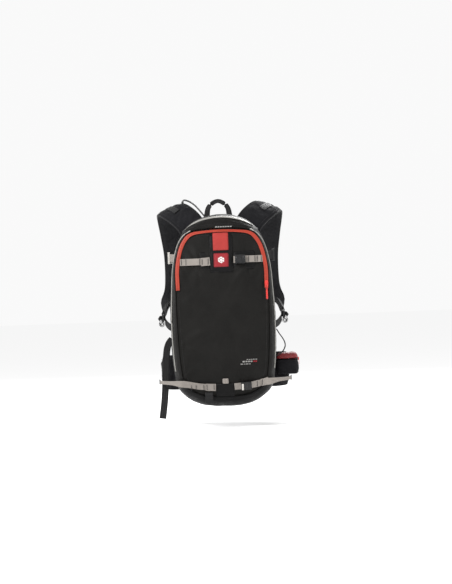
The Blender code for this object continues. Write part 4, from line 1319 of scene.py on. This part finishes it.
def make_back():
    """The flat back panel, bound at its edge, where the gusset's seam meets it."""
    loop = [Vector((row[0] * 0.955, row[1] * 0.965)) for row in seam_loop(4)]
    rows = []
    for share in (1, 0.985, 0.94, 0.85, 0.7, 0.5, 0.25, 0.02):
        row = []
        for p in loop:
            x, z = p.x * share, p.y * share
            row.append(Vector((x, -18.6 + 0.5 * noise.noise(Vector((x / 30, 0, z / 30))), z)))
        rows.append(row)
    bm = panel_mesh(rows)
    piece = make_piece("back_skin", bm, LOOK["side"], "pack", ["back_panel"], closed=False)
    add_thickness(piece, 2.4)
    rows = []
    for i, p in enumerate(loop):
        along = (loop[(i + 1) % len(loop)] - loop[i - 1]).normalized()
        out = Vector((along.y, 0, -along.x))
        centre = Vector((p.x, -20.8, p.y))
        shape = [(2.6 * math.cos(t), 3.6 * math.sin(t)) for t in angles(10)]
        rows.append([centre + out * a + Vector((0, b, 0)) for a, b in shape])
    rows.append(rows[0])
    bm = grid_mesh(rows, wrap=True)
    bmesh.ops.remove_doubles(bm, verts=bm.verts, dist=0.001)
    make_piece("back_binding", bm, LOOK["binding"], "pack")
    inner = [p * 0.966 for p in loop]
    line = [Vector((p.x, -18.4, p.y)) for p in [*inner, inner[0]]]
    stitching("back_stitches", [(line, [Vector((0, 1, 0))] * len(line))], "thread", "bag_fabric",
              pitch=6, length=4, size=0.5)


def pad_grid(outline, low_y, high_y):
    """A pad's crowned face and flat rear, over an outline of heights and half-widths."""
    z_low, z_high = outline[0][0], outline[-1][0]
    count = int((z_high - z_low) / 4.0)
    across = 44
    face, rear = [], []
    for i in range(count + 1):
        z = z_low + (z_high - z_low) * i / count
        half = next(
            wide_a + (wide_b - wide_a) * (z - za) / (zb - za)
            for (za, wide_a), (zb, wide_b) in zip(outline, outline[1:]) if z <= zb + 0.001
        )
        row, under = [], []
        for j in range(across + 1):
            x = half * (2 * j / across - 1)
            edge = min(half - abs(x), z - z_low, z_high - z)
            rim = math.sqrt(max(0.0, 1 - (1 - min(edge, 9) / 9) ** 2))
            row.append(Vector((x, low_y + (high_y - low_y) * (0.25 + 0.75 * rim), z)))
            under.append(Vector((x, low_y, z)))
        face.append(row)
        rear.append(under)
    return face, rear


def pad_piece(name, outline, channels, replaces):
    """A pad that swells in its cover, and whose sewn channels are pressed in once it has."""
    face, rear = pad_grid(outline, PAD_REAR_Y, PAD_FACE_Y)
    rows = [[*row, *under[::-1]] for row, under in zip(face, rear)]
    bm = grid_mesh(rows, wrap=True, caps=True)
    piece = make_piece(name, bm, LOOK["mesh"], "pack", replaces, sharp=70)
    z_low, z_high = outline[0][0], outline[-1][0]

    def rim_share(p):
        half = max(wide for _, wide in outline)
        edge = min(half - abs(p.x), p.z - z_low, z_high - p.z)
        return max(0.0, min(1.0, edge / 10))

    def press(p):
        if p.y < PAD_REAR_Y + 3:
            return p
        depth = sum(d * math.exp(-(line(p.x, p.z) / w) ** 2) for line, d, w in channels)
        return Vector((p.x, min(p.y, -0.2) - depth * rim_share(p), p.z))

    places = [vertex.co / MM for vertex in piece.data.vertices]
    caps = [0.0 if p.y < PAD_REAR_Y + 3 else 4.0 * rim_share(p) for p in places]
    soften(piece, caps, 4.0, 0.02, press)
    add_subdivision(piece)
    return face


def make_pads():
    """The back pad's air-channelled cushion and the lumbar cushion below it."""

    def middle(x, z):
        return x

    def chevron(offset):
        return lambda x, z: (z - offset) - 0.35 * abs(x)

    upper = [(-118, 84), (-112, 96), (-104, 100), (20, 104), (110, 92), (134, 78), (144, 66), (150, 50)]
    channels = [(middle, 8.0, 12.0)] + [(chevron(z), 5.0, 4.2) for z in (-84, -38, 8, 54, 100)]
    face = pad_piece("back_cushion", upper, channels, ["back_pad"])
    lower = [(-232, 40), (-226, 56), (-214, 65), (-150, 74), (-136, 72), (-130, 66), (-126, 54)]
    channels = [(middle, 6.5, 10.0)] + [(chevron(z), 4.2, 4.0) for z in (-212, -182, -152)]
    low_face = pad_piece("lumbar_cushion", lower, channels, ["lumbar_pad"])
    for name, grid in (("back", face), ("lumbar", low_face)):
        ring = [row[0] for row in grid] + grid[-1] + [row[-1] for row in grid[::-1]] + grid[0][::-1]
        points = [Vector((p.x, -14.6, p.z)) for p in ring[::2]]
        rows = tube_rows([*points, points[0]], 2.0, sides=8, up=Vector((0, 1, 0)))
        bm = grid_mesh(rows, wrap=True)
        bmesh.ops.remove_doubles(bm, verts=bm.verts, dist=0.05)
        make_piece(f"{name}_cushion_binding", bm, LOOK["binding"], "pack")


def make_wrapped_pad(name, path, steps, replaces, facing, wrinkles=()):
    """A padded strap: crowned outer face, stitched channel inside each edge, mesh inner face.
    Its two faces stay a little apart at the rim, as the cloth simulation needs. facing is 1 where
    the frames' out direction is the outer face, and -1 where it is the inner."""
    points, across, widths, thicks = sample_path(path, steps)
    frames = turn_across(points, across)
    outer = [1 - 2 * k / 22 for k in range(23)]
    rows = []
    for i, (_, side, out) in enumerate(frames):
        half, thick = pad_half_width(widths, i), thicks[i]
        end = min(i, len(points) - 1 - i) / max(steps, 1)
        taper = 0.35 + 0.65 * math.sqrt(max(0.0, 1 - (1 - min(1.0, end * 1.6)) ** 2))
        row = []
        for face in (facing, -facing):
            for a in outer if face == facing else outer[::-1]:
                round_off = math.sqrt(max(0.004, 1 - abs(a) ** 5))
                groove = 0.16 * math.exp(-((abs(a) - 0.8) / 0.05) ** 2)
                b = 0.5 * (0.9 * round_off - groove) * taper
                p = points[i] + side * (a * half)
                fold = sum(d * math.exp(-((i / steps - place) / w) ** 2) for place, d, w in wrinkles)
                soft = 0.8 * noise.noise(p / 12) + 0.9 * noise.noise(p / 30)
                puff = b * thick + soft * 0.7 * round_off
                if face == facing:
                    puff -= fold * round_off
                row.append(p + out * face * puff)
        rows.append(row)
    bm = grid_mesh(rows, wrap=True, caps=True, inner_from=len(outer))
    piece = make_piece(name, bm, LOOK["harness"], "pack", replaces, sharp=75, looks=[LOOK["mesh"]])
    caps = []
    for i in range(len(rows)):
        near_end = min(1.0, min(i, len(rows) - 1 - i) / 6)
        for _ in (facing, -facing):
            for a in outer:
                sewn = min(1.0, max(0.0, (0.72 - abs(a)) / 0.16))
                caps.append((2.6 if abs(a) > 0.4 else 1.2) * sewn * near_end)
    soften(piece, caps, 2.0, 0.03)
    return points, frames, widths, thicks


def pad_half_width(widths, i):
    """Half a padded strap's width at a sample, drawn in at both ends so that its corners are round."""
    end = min(i, len(widths) - 1 - i)
    return widths[i] / 2 * (0.84, 0.93, 0.98, 1.0)[min(end, 3)]


def edge_binding(name, pad, radius):
    """The folded tape sewn right round the edge of a padded strap."""
    points, frames, widths, _ = pad
    last = len(points) - 1
    stops = []
    for sign, order in ((1, range(last + 1)), (-1, range(last, -1, -1))):
        for i in order:
            along, side, out = frames[i]
            stops.append((points[i] + side * sign * (pad_half_width(widths, i) - 0.8), side * sign, out))
        i = order[-1]
        along, side, out = frames[i]
        for k in range(1, 8):
            a = sign * (1 - k / 4) * pad_half_width(widths, i) * 0.98
            stops.append((points[i] + side * a, along * sign, out))
    rows = []
    for place, outward, out in stops:
        rows.append([place + outward * 2.0 * math.cos(t) + out * radius * math.sin(t)
                     for t in angles(10)])
    rows.append(rows[0])
    bm = grid_mesh(rows, wrap=True)
    bmesh.ops.remove_doubles(bm, verts=bm.verts, dist=0.001)
    return make_piece(name, bm, LOOK["binding"], "pack", sharp=60)


def pad_stitches(name, pad, start, end, facing):
    """Two lines of stitches along a padded strap, in the channels inside its edges."""
    points, frames, widths, thicks = pad
    lines = []
    for a in (-0.8, 0.8):
        line, normals = [], []
        for i in range(start, end):
            _, across, out = frames[i]
            line.append(points[i] + across * a * widths[i] / 2 + out * facing * 0.4 * thicks[i])
            normals.append(out * facing)
        lines.append((line, normals))
    stitching(name, lines, "thread", "harness_fabric", **LONG_STITCH)


def make_shoulder_straps():
    """Padded shoulder straps with bound edges, centre webbing, keepers and stitch rows."""
    for side, path in (("right", SHOULDER_PATH), ("left", mirrored(SHOULDER_PATH))):
        face = -1 if side == "right" else 1
        pad = make_wrapped_pad(
            f"shoulder_padding_{side}", path, 9, [f"shoulder_strap_{side}"], face,
            wrinkles=[(1.6, 0.8, 0.1), (3.3, 1.2, 0.1), (3.9, 1.4, 0.12), (4.6, 1.0, 0.1), (10.1, 0.9, 0.1)],
        )
        points, frames, _, thicks = pad
        edge_binding(f"shoulder_binding_{side}", pad, 3.0)
        sewn = range(30, len(points) - 4, 3)
        line = [points[i] + frames[i][2] * face * (0.45 * thicks[i] + 1.2) for i in sewn]
        path = [(p, frames[i][1], WEBBING, 1.6) for i, p in zip(sewn, line)]
        strap(f"shoulder_webbing_{side}", path, "black", steps=2)
        pad_stitches(f"shoulder_stitches_{side}", pad, 8, len(points) - 6, face)
        places = []
        for i in range(40, len(points) - 8, 9):
            along, across, out = frames[i]
            places.append((points[i] + out * face * (0.45 * thicks[i] + 2.0), along, across, out * face))
        bartacks(f"shoulder_bartacks_{side}", places, "thread", "black_webbing", length=18)
        for k, i in enumerate((52, 76)):
            along, across, out = frames[i]
            centre = points[i] + out * face * (0.45 * thicks[i] + 3.4)
            keeper = [(tuple(centre + across * d + out * face * drop), tuple(along), 8, 1.2)
                      for d, drop in ((-13, -2.6), (-11, -0.4), (0, 0), (11, -0.4), (13, -2.6))]
            strap(f"strap_keeper_{side}_{k}", keeper, "black")


def make_hip_belt():
    """Padded hip wings with bound and stitched edges."""
    for side, path in (("right", HIP_PATH), ("left", mirrored(HIP_PATH))):
        face = 1 if side == "right" else -1
        pad = make_wrapped_pad(
            f"hip_padding_{side}", path, 10, [f"hip_wing_{side}"], face,
            wrinkles=[(2.4, 0.9, 0.08), (3.6, 0.8, 0.08)],
        )
        edge_binding(f"hip_binding_{side}", pad, 3.2)
        pad_stitches(f"hip_stitches_{side}", pad, 6, len(pad[0]) - 5, face)


# ---------------------------------------------------------------- hip pocket, belt and sternum strap


POCKET_OUTLINE = [
    (152, -15), (197, -15), (207, -11), (212, 0), (212, 54), (212, 108), (205, 118), (190, 120), (189.5, 78),
    (177.5, 24), (160, 2), (152, -4),
]


def pocket_ring(z, inset, bulge=0.0):
    """The pocket's outline at one height, moved in, and swelled where its fabric is free."""
    corners = [Vector((x, y)) for x, y in POCKET_OUTLINE]
    count = len(corners)
    ring = []
    for i in range(count):
        a, b, c, d = (corners[(i + k) % count] for k in (-1, 0, 1, 2))
        for k in range(5):
            ring.append(spline_point(a, b, c, d, k / 5))
    for _ in range(7):
        ring = [(ring[i - 1] + 2 * p + ring[(i + 1) % len(ring)]) / 4 for i, p in enumerate(ring)]
    moved = []
    for i, p in enumerate(ring):
        along = (ring[(i + 1) % len(ring)] - ring[i - 1]).normalized()
        out = Vector((along.y, -along.x))
        free = min(1.0, max(0.0, (p.x - 198) / 8))
        broad = 1.5 * noise.noise(Vector((p.x / 12, p.y / 12, z / 9)))
        fine = 0.8 * noise.noise(Vector((p.x / 5, p.y / 6, z / 5)))
        q = p - out * (inset - (bulge + (broad + fine)) * free)
        moved.append(Vector((q.x, q.y, z)))
    return moved


def pocket_caps(piece, low, high):
    """The pocket's cloth is free on its outer side between two heights, and sewn down elsewhere."""
    caps = []
    for vertex in piece.data.vertices:
        p = vertex.co / MM
        caps.append(2.0 if p.x > 200 and low < p.z < high else 0.0)
    return caps


def make_hip_pocket():
    """The zipped pocket on the right wing: charcoal body, red top and a short zip."""
    body = [(-193.4, 4.5, 0), (-192, 2.0, 0), (-189, 0.7, 0.2), (-184, 0.2, 0.9), (-178, 0, 1.3),
            (-172, 0, 1.5), (-166, 0, 1.5), (-160, 0, 1.2), (-155, 0.2, 0.6), (-151.5, 0.3, 0.2),
            (-149.4, 1.2, 0)]
    bm = grid_mesh([pocket_ring(*row) for row in body], wrap=True, caps=True)
    shell = make_piece("pocket_shell", bm, LOOK["harness"], "pack", ["hip_pocket"], sharp=60)
    soften(shell, pocket_caps(shell, -189, -155), 1.5, 0.03)
    add_subdivision(shell)
    top = [(-148.6, 1.4, 0), (-146, 0.5, 0.2), (-142.5, 0.5, 0.7), (-139, 1.0, 0.7), (-136, 2.0, 0.5),
           (-133.5, 3.6, 0.2), (-131.8, 6, 0), (-130.8, 9, 0), (-130.4, 14, 0)]
    bm = grid_mesh([pocket_ring(*row) for row in top], wrap=True, caps=True)
    lid = make_piece("pocket_top", bm, LOOK["pocket_red"], "pack", ["hip_pocket_top"], sharp=60)
    soften(lid, pocket_caps(lid, -146, -128), 1.0, 0.03)
    add_subdivision(lid)
    lines = []
    for z, inset in ((-188, -0.4), (-154.5, -0.8), (-145.2, -0.6)):
        ring = [p for p in pocket_ring(z, inset, 0.8) if p.x > 196]
        normals = [Vector((1, 0, 0))] * len(ring)
        lines.append((ring, normals))
    stitching("pocket_stitches", lines, "thread", "bag_fabric", pitch=4.5, length=3)
    line = [p for p in pocket_ring(-149, -0.2, 0.3) if p.x > 203]
    rows = [[p + Vector((0.9 * math.cos(t) + 0.1, 0, 1.9 * math.sin(t)))
             for t in angles(10)] for p in line]
    bm = grid_mesh(rows, wrap=True, caps=True)
    make_piece("pocket_zip_coil", bm, LOOK["binding"], "pack")
    bm = bmesh.new()
    shape = [(10, -153), (11, -145), (21, -145), (22, -153)]
    plate_of(bm, shape, lambda a, b, d: Vector((212.4 + d, a, b)), 0, 3.4)
    pull = [(13.8, -149), (18.2, -149), (17.4, -166), (14.6, -166)]
    plate_of(bm, pull, lambda a, b, d: Vector((215.2 + d, a, b)), 0, 0.8)
    slider = make_piece("pocket_slider", bm, LOOK["red_plastic"], "hip_pocket_slider",
                        ["hip_pocket_slider"])
    add_bevel(slider, 0.35)


def make_waist():
    """Hip webbing in front of the wings, and the large buckle that joins it."""
    right = Vector((1, 0, 0))
    up = Vector((0, 0, 1))
    out = Vector((0, 1, 0))
    half = [(75, 243.6), (98, 239.6), (118.5, 229.8), (138, 212.8), (157.5, 193.5)]
    marks = [(-x, y) for x, y in half[::-1]] + [(-30, 243.2), (0, 243), (30, 243.2)] + half
    path = [((x, y, HIP_Z), (0, 0, 1), 38, 2.0) for x, y in marks]
    strap("waist_webbing", path, "black", replaces=["hip_webbing"])
    folds = (
        ("left", "pack", [(-58, 244.9), (-38, 245.6), (-24, 247.4), (-15, 250.5)]),
        ("right", "hip_buckle_male", [(27, 250), (34, 247.8), (46, 245.8), (72, 245.6)]),
    )
    for side, body, fold in folds:
        path_of_fold = [((x, y, HIP_Z), (0, 0, 1), 37, 1.7) for x, y in fold]
        strap(f"waist_fold_{side}", path_of_fold, "black", body=body)
    points, across, _, _ = sample_path(path, 6)
    frames = turn_across(points, across)
    places = []
    for i in (4, 8, len(points) - 9, len(points) - 5):
        along, side, web_out = frames[i]
        front = -web_out
        places.append((points[i] + front * 1.4, along, side, front))
    bartacks("waist_bartacks", places, "thread", "black_webbing", length=32)
    place = Vector((14, 250, HIP_Z))
    make_buckle("hip", place, right, up, out, 34, 46, 9.5, "hip_buckle_male")


def make_sternum():
    """The sternum strap's two halves, its sliders and the rails they ride on."""
    right = Vector((1, 0, 0))
    up = Vector((0, 0, 1))
    out = Vector((0, 1, 0))
    place = Vector((8, 265, STERNUM_Z))
    make_buckle("sternum", place, right, up, out, 20, 26, 7.2, "sternum_buckle_male", "sternum_strap")
    marks = [(-124, 259.4), (-90, 259.6), (-50, 259.2), (0, 259.4), (50, 259.2), (90, 259.6), (124, 259.4)]
    path = [((x, y, STERNUM_Z), (0, 0, 1), 19.6, 1.6) for x, y in marks]
    bm = webbing_mesh(path, steps=8)
    for x0, x1 in ((-36, -16), (36, 64)):
        fold = [((x, 261.1, STERNUM_Z), (0, 0, 1), 19, 1.5) for x in (x0, (x0 + x1) / 2, x1)]
        bm = webbing_mesh(fold, steps=3, bm=bm)
    make_piece("chest_webbing", bm, LOOK["black"], "sternum_strap", ["sternum_webbing"],
               sharp=50)
    gathers = [(x, 260.6 + 0.5 * math.sin(x / 2.2), STERNUM_Z) for x in range(70, 104, 2)]
    elastic = [(place, (0, 0, 1), 17, 1.2) for place in gathers]
    strap("chest_elastic", elastic, "binding", "black_webbing", body="sternum_strap", steps=2)
    bm = bmesh.new()
    for rail_x in (-STERNUM_RAIL_X, STERNUM_RAIL_X):
        for z in (STERNUM_Z - 7.5, STERNUM_Z + 7.5):
            clip = [
                (rail_x - 7, 259), (rail_x - 7, 254), (rail_x - 4.5, 252), (rail_x - 2.4, 253.4),
                (rail_x - 2.4, 258),
                (rail_x + 2.4, 258), (rail_x + 2.4, 253.4), (rail_x + 4.5, 252), (rail_x + 7, 254),
                (rail_x + 7, 259), (rail_x + 5, 261.4), (rail_x - 5, 261.4),
            ]
            plate_of(bm, clip, lambda a, b, d: Vector((a, b, d)), z - 2.2, z + 2.2)
        face = [(rail_x - 6, 258.4), (rail_x - 6, 261), (rail_x + 6, 261), (rail_x + 6, 258.4)]
        plate_of(bm, face, lambda a, b, d: Vector((a, b, d)), STERNUM_Z - 6, STERNUM_Z + 6)
    clips = make_piece("chest_rail_clips", bm, LOOK["plastic"], "sternum_strap")
    add_bevel(clips, 0.4)
    places = [(Vector((x, 262.2, STERNUM_Z)), right, up, out) for x in (-33, 54, 61)]
    bartacks("chest_bartacks", places, "thread", "black_webbing", body="sternum_strap", length=16)
    bm = bmesh.new()
    for rail_x in (-STERNUM_RAIL_X, STERNUM_RAIL_X):
        for z in (70, 150):
            ends = [(rail_x - 7, z - 6), (rail_x + 7, z - 6), (rail_x + 7, z + 6), (rail_x - 7, z + 6)]
            plate_of(bm, ends, lambda a, b, d: Vector((a, d, b)), 249.5, 256.5)
    anchors = make_piece("chest_rail_anchors", bm, LOOK["plastic"], "pack")
    add_bevel(anchors, 1.2)


def make_trigger():
    """The red pull handle in its sleeve, with finger grooves in the grip."""
    stations = []
    for k in range(41):
        z = 116 + k
        end = min(z - 115.6, 156.4 - z)
        rim = math.sqrt(max(0.02, 1 - (1 - min(1.0, end / 5)) ** 2))
        groove = 0.9 * math.cos((z - 136) / 40 * 8 * math.pi) if 122 < z < 150 else 0.0
        stations.append((z, 13.2 * rim - 1.4 * (1 - rim), 3.7 * rim, groove))
    rows = []
    for z, wide, deep, groove in stations:
        ring = []
        for t in angles(28):
            x, y = rounded(t, 0.5, 0.6)
            ring.append(TRIGGER @ Vector((wide * x, TRIGGER_AXIS_Y + (deep + 0.25 * groove) * y, z)))
        rows.append(ring)
    bm = grid_mesh(rows, wrap=True, caps=True)
    stem = []
    for z, wide, deep in ((153, 4.6, 3.2), (160, 4.4, 3.0), (175, 4.0, 2.6), (195, 3.6, 2.4)):
        stem.append([TRIGGER @ Vector((wide * math.cos(t), TRIGGER_AXIS_Y + deep * math.sin(t), z))
                     for t in angles(16)])
    bm = grid_mesh(stem, wrap=True, caps=True, bm=bm)
    make_piece("trigger_grip", bm, LOOK["red_plastic"], "trigger", ["trigger_handle"],
               sharp=50)
    arrow = bmesh.new()
    for low in (126, 133, 140):
        for sign in (-1, 1):
            bar = [(0, low), (sign * 7, low + 4), (sign * 7, low + 6.2), (0, low + 2.2)]
            plate_of(arrow, bar, lambda a, b, d: TRIGGER @ Vector((a, d, b)), 11.2, 12.1)
    make_piece("trigger_chevrons", arrow, LOOK["white"], "trigger", sharp=30)


def make_trigger_sleeve():
    """The fabric sleeve on the left shoulder strap that the grip's stem goes up into."""
    low_z, high_z = 159.6, 205.4
    rows = []
    for k in range(25):
        z = low_z + 45.8 * k / 24
        end = min(k, 24 - k)
        inset = 0.5 if end == 0 else 0.0
        soft = 0.35 * math.sin(k * 1.7)
        ring = []
        for t in angles(32):
            x, y = rounded(t, 0.35, 0.5)
            wide = 12.4 - inset + 0.3 * soft
            deep = 8.0 - inset + 0.4 * soft * abs(math.sin(t))
            ring.append(TRIGGER @ Vector((wide * x, TRIGGER_AXIS_Y + deep * y, z)))
        rows.append(ring)
    mouth = []
    for t in angles(32):
        x, y = rounded(t, 0.35, 0.5)
        mouth.append(TRIGGER @ Vector((10.2 * x, TRIGGER_AXIS_Y + 5.6 * y, low_z)))
    closed_top = [TRIGGER @ Vector((0, TRIGGER_AXIS_Y, high_z))] * 32
    bm = grid_mesh([mouth, *rows, closed_top], wrap=True)
    bmesh.ops.remove_doubles(bm, verts=bm.verts, dist=0.01)
    make_piece("trigger_holster", bm, LOOK["harness"], "pack", ["trigger_sleeve"],
               closed=False, sharp=70)
    bm = thread_mesh()
    for z in (163, 166.5, 201):
        line, normals = [], []
        for k in range(12):
            line.append(TRIGGER @ Vector((-10.5 + 21 * k / 11, 16.2, z)))
            normals.append(TRIGGER.to_3x3() @ Vector((0, 1, 0)))
        stitch_line(bm, line, normals, pitch=3.4, length=2.4, size=0.4)
    make_piece("trigger_holster_stitches", bm, LOOK["light_thread"], "pack", sharp=180)
    band = [((x, y, 183), (0, 0, 1), 14, 1.2) for x, y in
            ((-12.9, 3), (-12.6, 13), (-9, 16.9), (0, 17.2), (9, 16.9), (12.6, 13), (12.9, 3))]
    path = [(TRIGGER @ Vector(p), w, a, b) for p, w, a, b in band]
    strap("trigger_holster_band", path, "binding", "harness_fabric", steps=4)


def make_cable():
    """The firing cable's jacket from the inflator up over the shoulder, and its end ferrule."""
    points = open_spline(CABLE_ROUTE, 8)
    tube("cable_jacket", points, 2.55, "jacket", "cable_jacket", replaces=["trigger_cable"], sides=12,
         up=Vector((0.2, 0.1, 1)))
    ferrule = tube_rows(points[-12:-3], 3.4, sides=14)
    bm = grid_mesh(ferrule, wrap=True, caps=True)
    make_piece("cable_ferrule", bm, LOOK["plastic"], "pack", sharp=40)


def make_cable_keepers():
    """Loops of binding that hold the cable down on the left strap."""
    points = open_spline(CABLE_ROUTE, 8)
    for k, i in enumerate((88, 104, 113)):
        along = (points[i + 1] - points[i - 1]).normalized()
        rows = []
        for step in (-4.5, -4, 4, 4.5):
            r = 3.4 if abs(step) == 4 else 2.9
            side = along.cross(Vector((0, 0, 1))).normalized()
            up = side.cross(along)
            rows.append([points[i] + along * step + (side * math.cos(t) + up * math.sin(t)) * r
                         for t in angles(14)])
        bm = grid_mesh(rows, wrap=True, caps=True)
        make_piece(f"cable_keeper_{k}", bm, LOOK["binding"], "pack", sharp=60)


def make_adjusters():
    """Webbing through the shoulder adjusters, the lower webbing, and the bag's side ladder-locks."""
    for side, sign in (("left", -1), ("right", 1)):
        body = f"strap_adjuster_{side}"
        route = [(173.4, 82, -19, 14.5), (171.4, 77.6, -19.4, 15), (170.7, 70, -22, 19),
                 (168, 44, -32, WEBBING), (155, 14, -45, WEBBING), (128, -14, -56, WEBBING)]
        path = [((sign * x, y, z), (0, 0, 1), width, 1.8) for x, y, z, width in route]
        strap(f"load_webbing_{side}", path, "black", replaces=[f"lower_webbing_{side}"])
        spiral = []
        for k in range(1, 27):
            radius, turned = 6.4 - k / 6, k * math.pi / 6
            spiral.append((180.4 + radius * math.cos(turned), 66, -36 - radius * math.sin(turned)))
        through = [(171.8, 74, -19, 15), (174, 77.5, -19, 15), (177.5, 78.5, -19, 15), (181.4, 76.5, -19, 15),
                   (183.4, 70, -20, 17), (185.6, 66.5, -25, 19), (186.9, 66, -32, 19)]
        turns = [(0, 0, 1)] * 4 + [(0, 0.5, 0.8), (0, 1, 0.3), (0, 1, 0)]
        path = [((sign * x, y, z), turn, width, 1.4) for (x, y, z, width), turn in zip(through, turns)]
        path += flat_path([(sign * x, y, z) for x, y, z in spiral], (0, 1, 0), width=19, thickness=1.3)
        strap(f"load_tail_{side}", path, "black", body=body, steps=3, ripple=0.1)
        ring = [(sign * (180.4 + 8.2 * math.cos(t)), 62, -36 + 8.2 * math.sin(t))
                for t in angles(24, closed=True)]
        path = flat_path(ring, (0, 1, 0), width=5, thickness=1.0)
        strap(f"load_tail_band_{side}", path, "binding", "black_webbing", body=body, steps=1, ripple=0)
        loop = [(176, 84, -19), (178.5, 86, -17), (180, 92, -14), (177.5, 98, -12)]
        path = flat_path([(sign * x, y, z) for x, y, z in loop], (0, 0.1, 1), width=19)
        strap(f"adjuster_anchor_{side}", path, "black", steps=4)
        web = [(133.5, -66, 154), (141, -74, 154), (150.5, -84, 154), (150.5, -97, 154), (143, -108, 154),
               (132, -118, 153)]
        path = flat_path([(sign * x, y, z) for x, y, z in web], (0, 0, 1), width=22)
        strap(f"side_adjuster_web_{side}", path, "grey" if side == "left" else "black", steps=4)


def airbag_middle(x):
    """The height of the roll's middle line, which follows the bag's rounded top."""
    return 206 + 20 * (1 - (x / 84) ** 2)


def make_airbag():
    """The airbag rolled up in its bay: an uneven roll of pleated nylon, held by two bands."""
    rows = []
    count = 60
    for k in range(count + 1):
        x = -83 + 166 * k / count
        z = airbag_middle(x)
        end = min(1.0, (84 - abs(x)) / 13)
        rim = math.sqrt(max(0.03, 1 - (1 - end) ** 2))
        gather = 0.9 * math.sin(x * 0.55 + 0.6 * math.sin(x * 0.2))
        ring = []
        for t in angles(48):
            pleat = 1.1 * math.sin(7 * t + 0.5 * math.sin(x / 11))
            soft = 1.2 * noise.noise(Vector((x / 9, 3 * math.cos(t), 3 * math.sin(t))))
            r = (23.2 + (gather + pleat + soft) * 0.8) * rim
            ring.append(Vector((x, AIRBAG_Y + r * math.cos(t), z + r * math.sin(t))))
        rows.append(ring)
    bm = grid_mesh(rows, wrap=True, caps=True)
    make_piece("airbag_bundle", bm, LOOK["airbag"], "pack", ["folded_airbag"], sharp=80)
    for x in (-40, 40):
        z = airbag_middle(x)
        ring = [Vector((x, AIRBAG_Y + 26 * math.cos(t), z + 26 * math.sin(t)))
                for t in angles(30, closed=True)]
        path = flat_path(ring, (1, 0, 0), width=12, thickness=1.0)
        strap(f"airbag_band_{'left' if x < 0 else 'right'}", path, "binding", "airbag_fabric", steps=1)


def make_bay_floor():
    """The stiffened fabric floor that the airbag lies on."""
    edge = [rounded(t, 0.3, 0.3) for t in angles(72)]
    rows = [[Vector((118 * x, -94.5 + 57.5 * y, z)) for x, y in edge] for z in (172.0, 174.6)]
    bm = grid_mesh(rows, wrap=True, caps=True)
    floor = make_piece("bay_floor_fabric", bm, LOOK["side"], "pack", ["airbag_bay_floor"],
                       sharp=50)
    add_bevel(floor, 0.8)


def make_port():
    """The rubber boot round the cable where it leaves the back panel."""
    centre = Vector((-25.6, -17, 211))
    tilt = Vector((-0.12, 0.75, 0.55)).normalized()
    side = tilt.cross(Vector((0, 0, 1))).normalized()
    up = side.cross(tilt)
    rows = []
    for along, radius in ((-3, 9.5), (-0.5, 9.8), (0.8, 8.6), (2.5, 6.4), (5, 5.2), (8, 4.4), (9, 3.6)):
        rows.append([centre + tilt * along + (side * math.cos(t) + up * math.sin(t)) * radius
                     for t in angles(20)])
    bm = grid_mesh(rows, wrap=True, caps=True)
    make_piece("cable_boot", bm, LOOK["jacket"], "pack", sharp=60)


def make_cylinder_band():
    """The webbing band that holds the cylinder to the back."""
    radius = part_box("cylinder_strap")[1].x / MM - CYLINDER.x - 1.0
    ring = [CYLINDER + Vector((radius * math.cos(t), radius * math.sin(t), -59.5))
            for t in angles(40, closed=True)]
    strap("cylinder_band", flat_path(ring, (0, 0, 1), width=25, thickness=1.8), "black",
          steps=1, replaces=["cylinder_strap"])


def dress(node, look, bevel=0.0):
    """A CAD part that shows as it is: welded, its edges rounded, and its material set."""
    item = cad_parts[node]
    item.data.materials.clear()
    item.data.materials.append(LOOK[look])
    for face in item.data.polygons:
        face.material_index = 0
    if bevel:
        weld = item.modifiers.new("weld", "WELD")
        weld.merge_threshold = 0.00002
        add_bevel(item, bevel)


def make_hardware():
    """Materials and rounded edges for the hard parts that carry over from the CAD."""
    dress("gas_cylinder", "cylinder")
    dress("inflator_head", "plastic", 0.8)
    dress("firing_lever", "red_plastic", 0.6)
    dress("frame_sheet", "plastic", 0.5)
    for side in ("left", "right"):
        dress(f"stay_{side}", "stay", 0.5)
        dress(f"sternum_rail_{side}", "plastic")
        dress(f"strap_adjuster_{side}", "plastic", 0.7)
        # The left side adjuster is pale although its plastic is black, as on the right: a painted highlight,
        # with the look of the grey webbing looped over it.
        dress(f"side_adjuster_{side}", "pale_painted_highlight" if side == "left" else "plastic", 0.7)


def main():
    """Builds the whole pack. The cloth settles once every piece is in place."""
    make_camera()
    make_leg_strap()
    make_stage()
    make_bag_sides()
    make_front()
    make_zip()
    make_piping()
    make_label()
    make_upper_straps()
    make_lower_straps()
    make_zip_slider()
    make_loops()
    make_back()
    make_pads()
    make_shoulder_straps()
    make_hip_belt()
    make_hip_pocket()
    make_waist()
    make_sternum()
    make_trigger()
    make_trigger_sleeve()
    make_cable()
    make_cable_keepers()
    make_port()
    make_adjusters()
    make_airbag()
    make_bay_floor()
    make_cylinder_band()
    make_hardware()
    settle_cloth()


main()
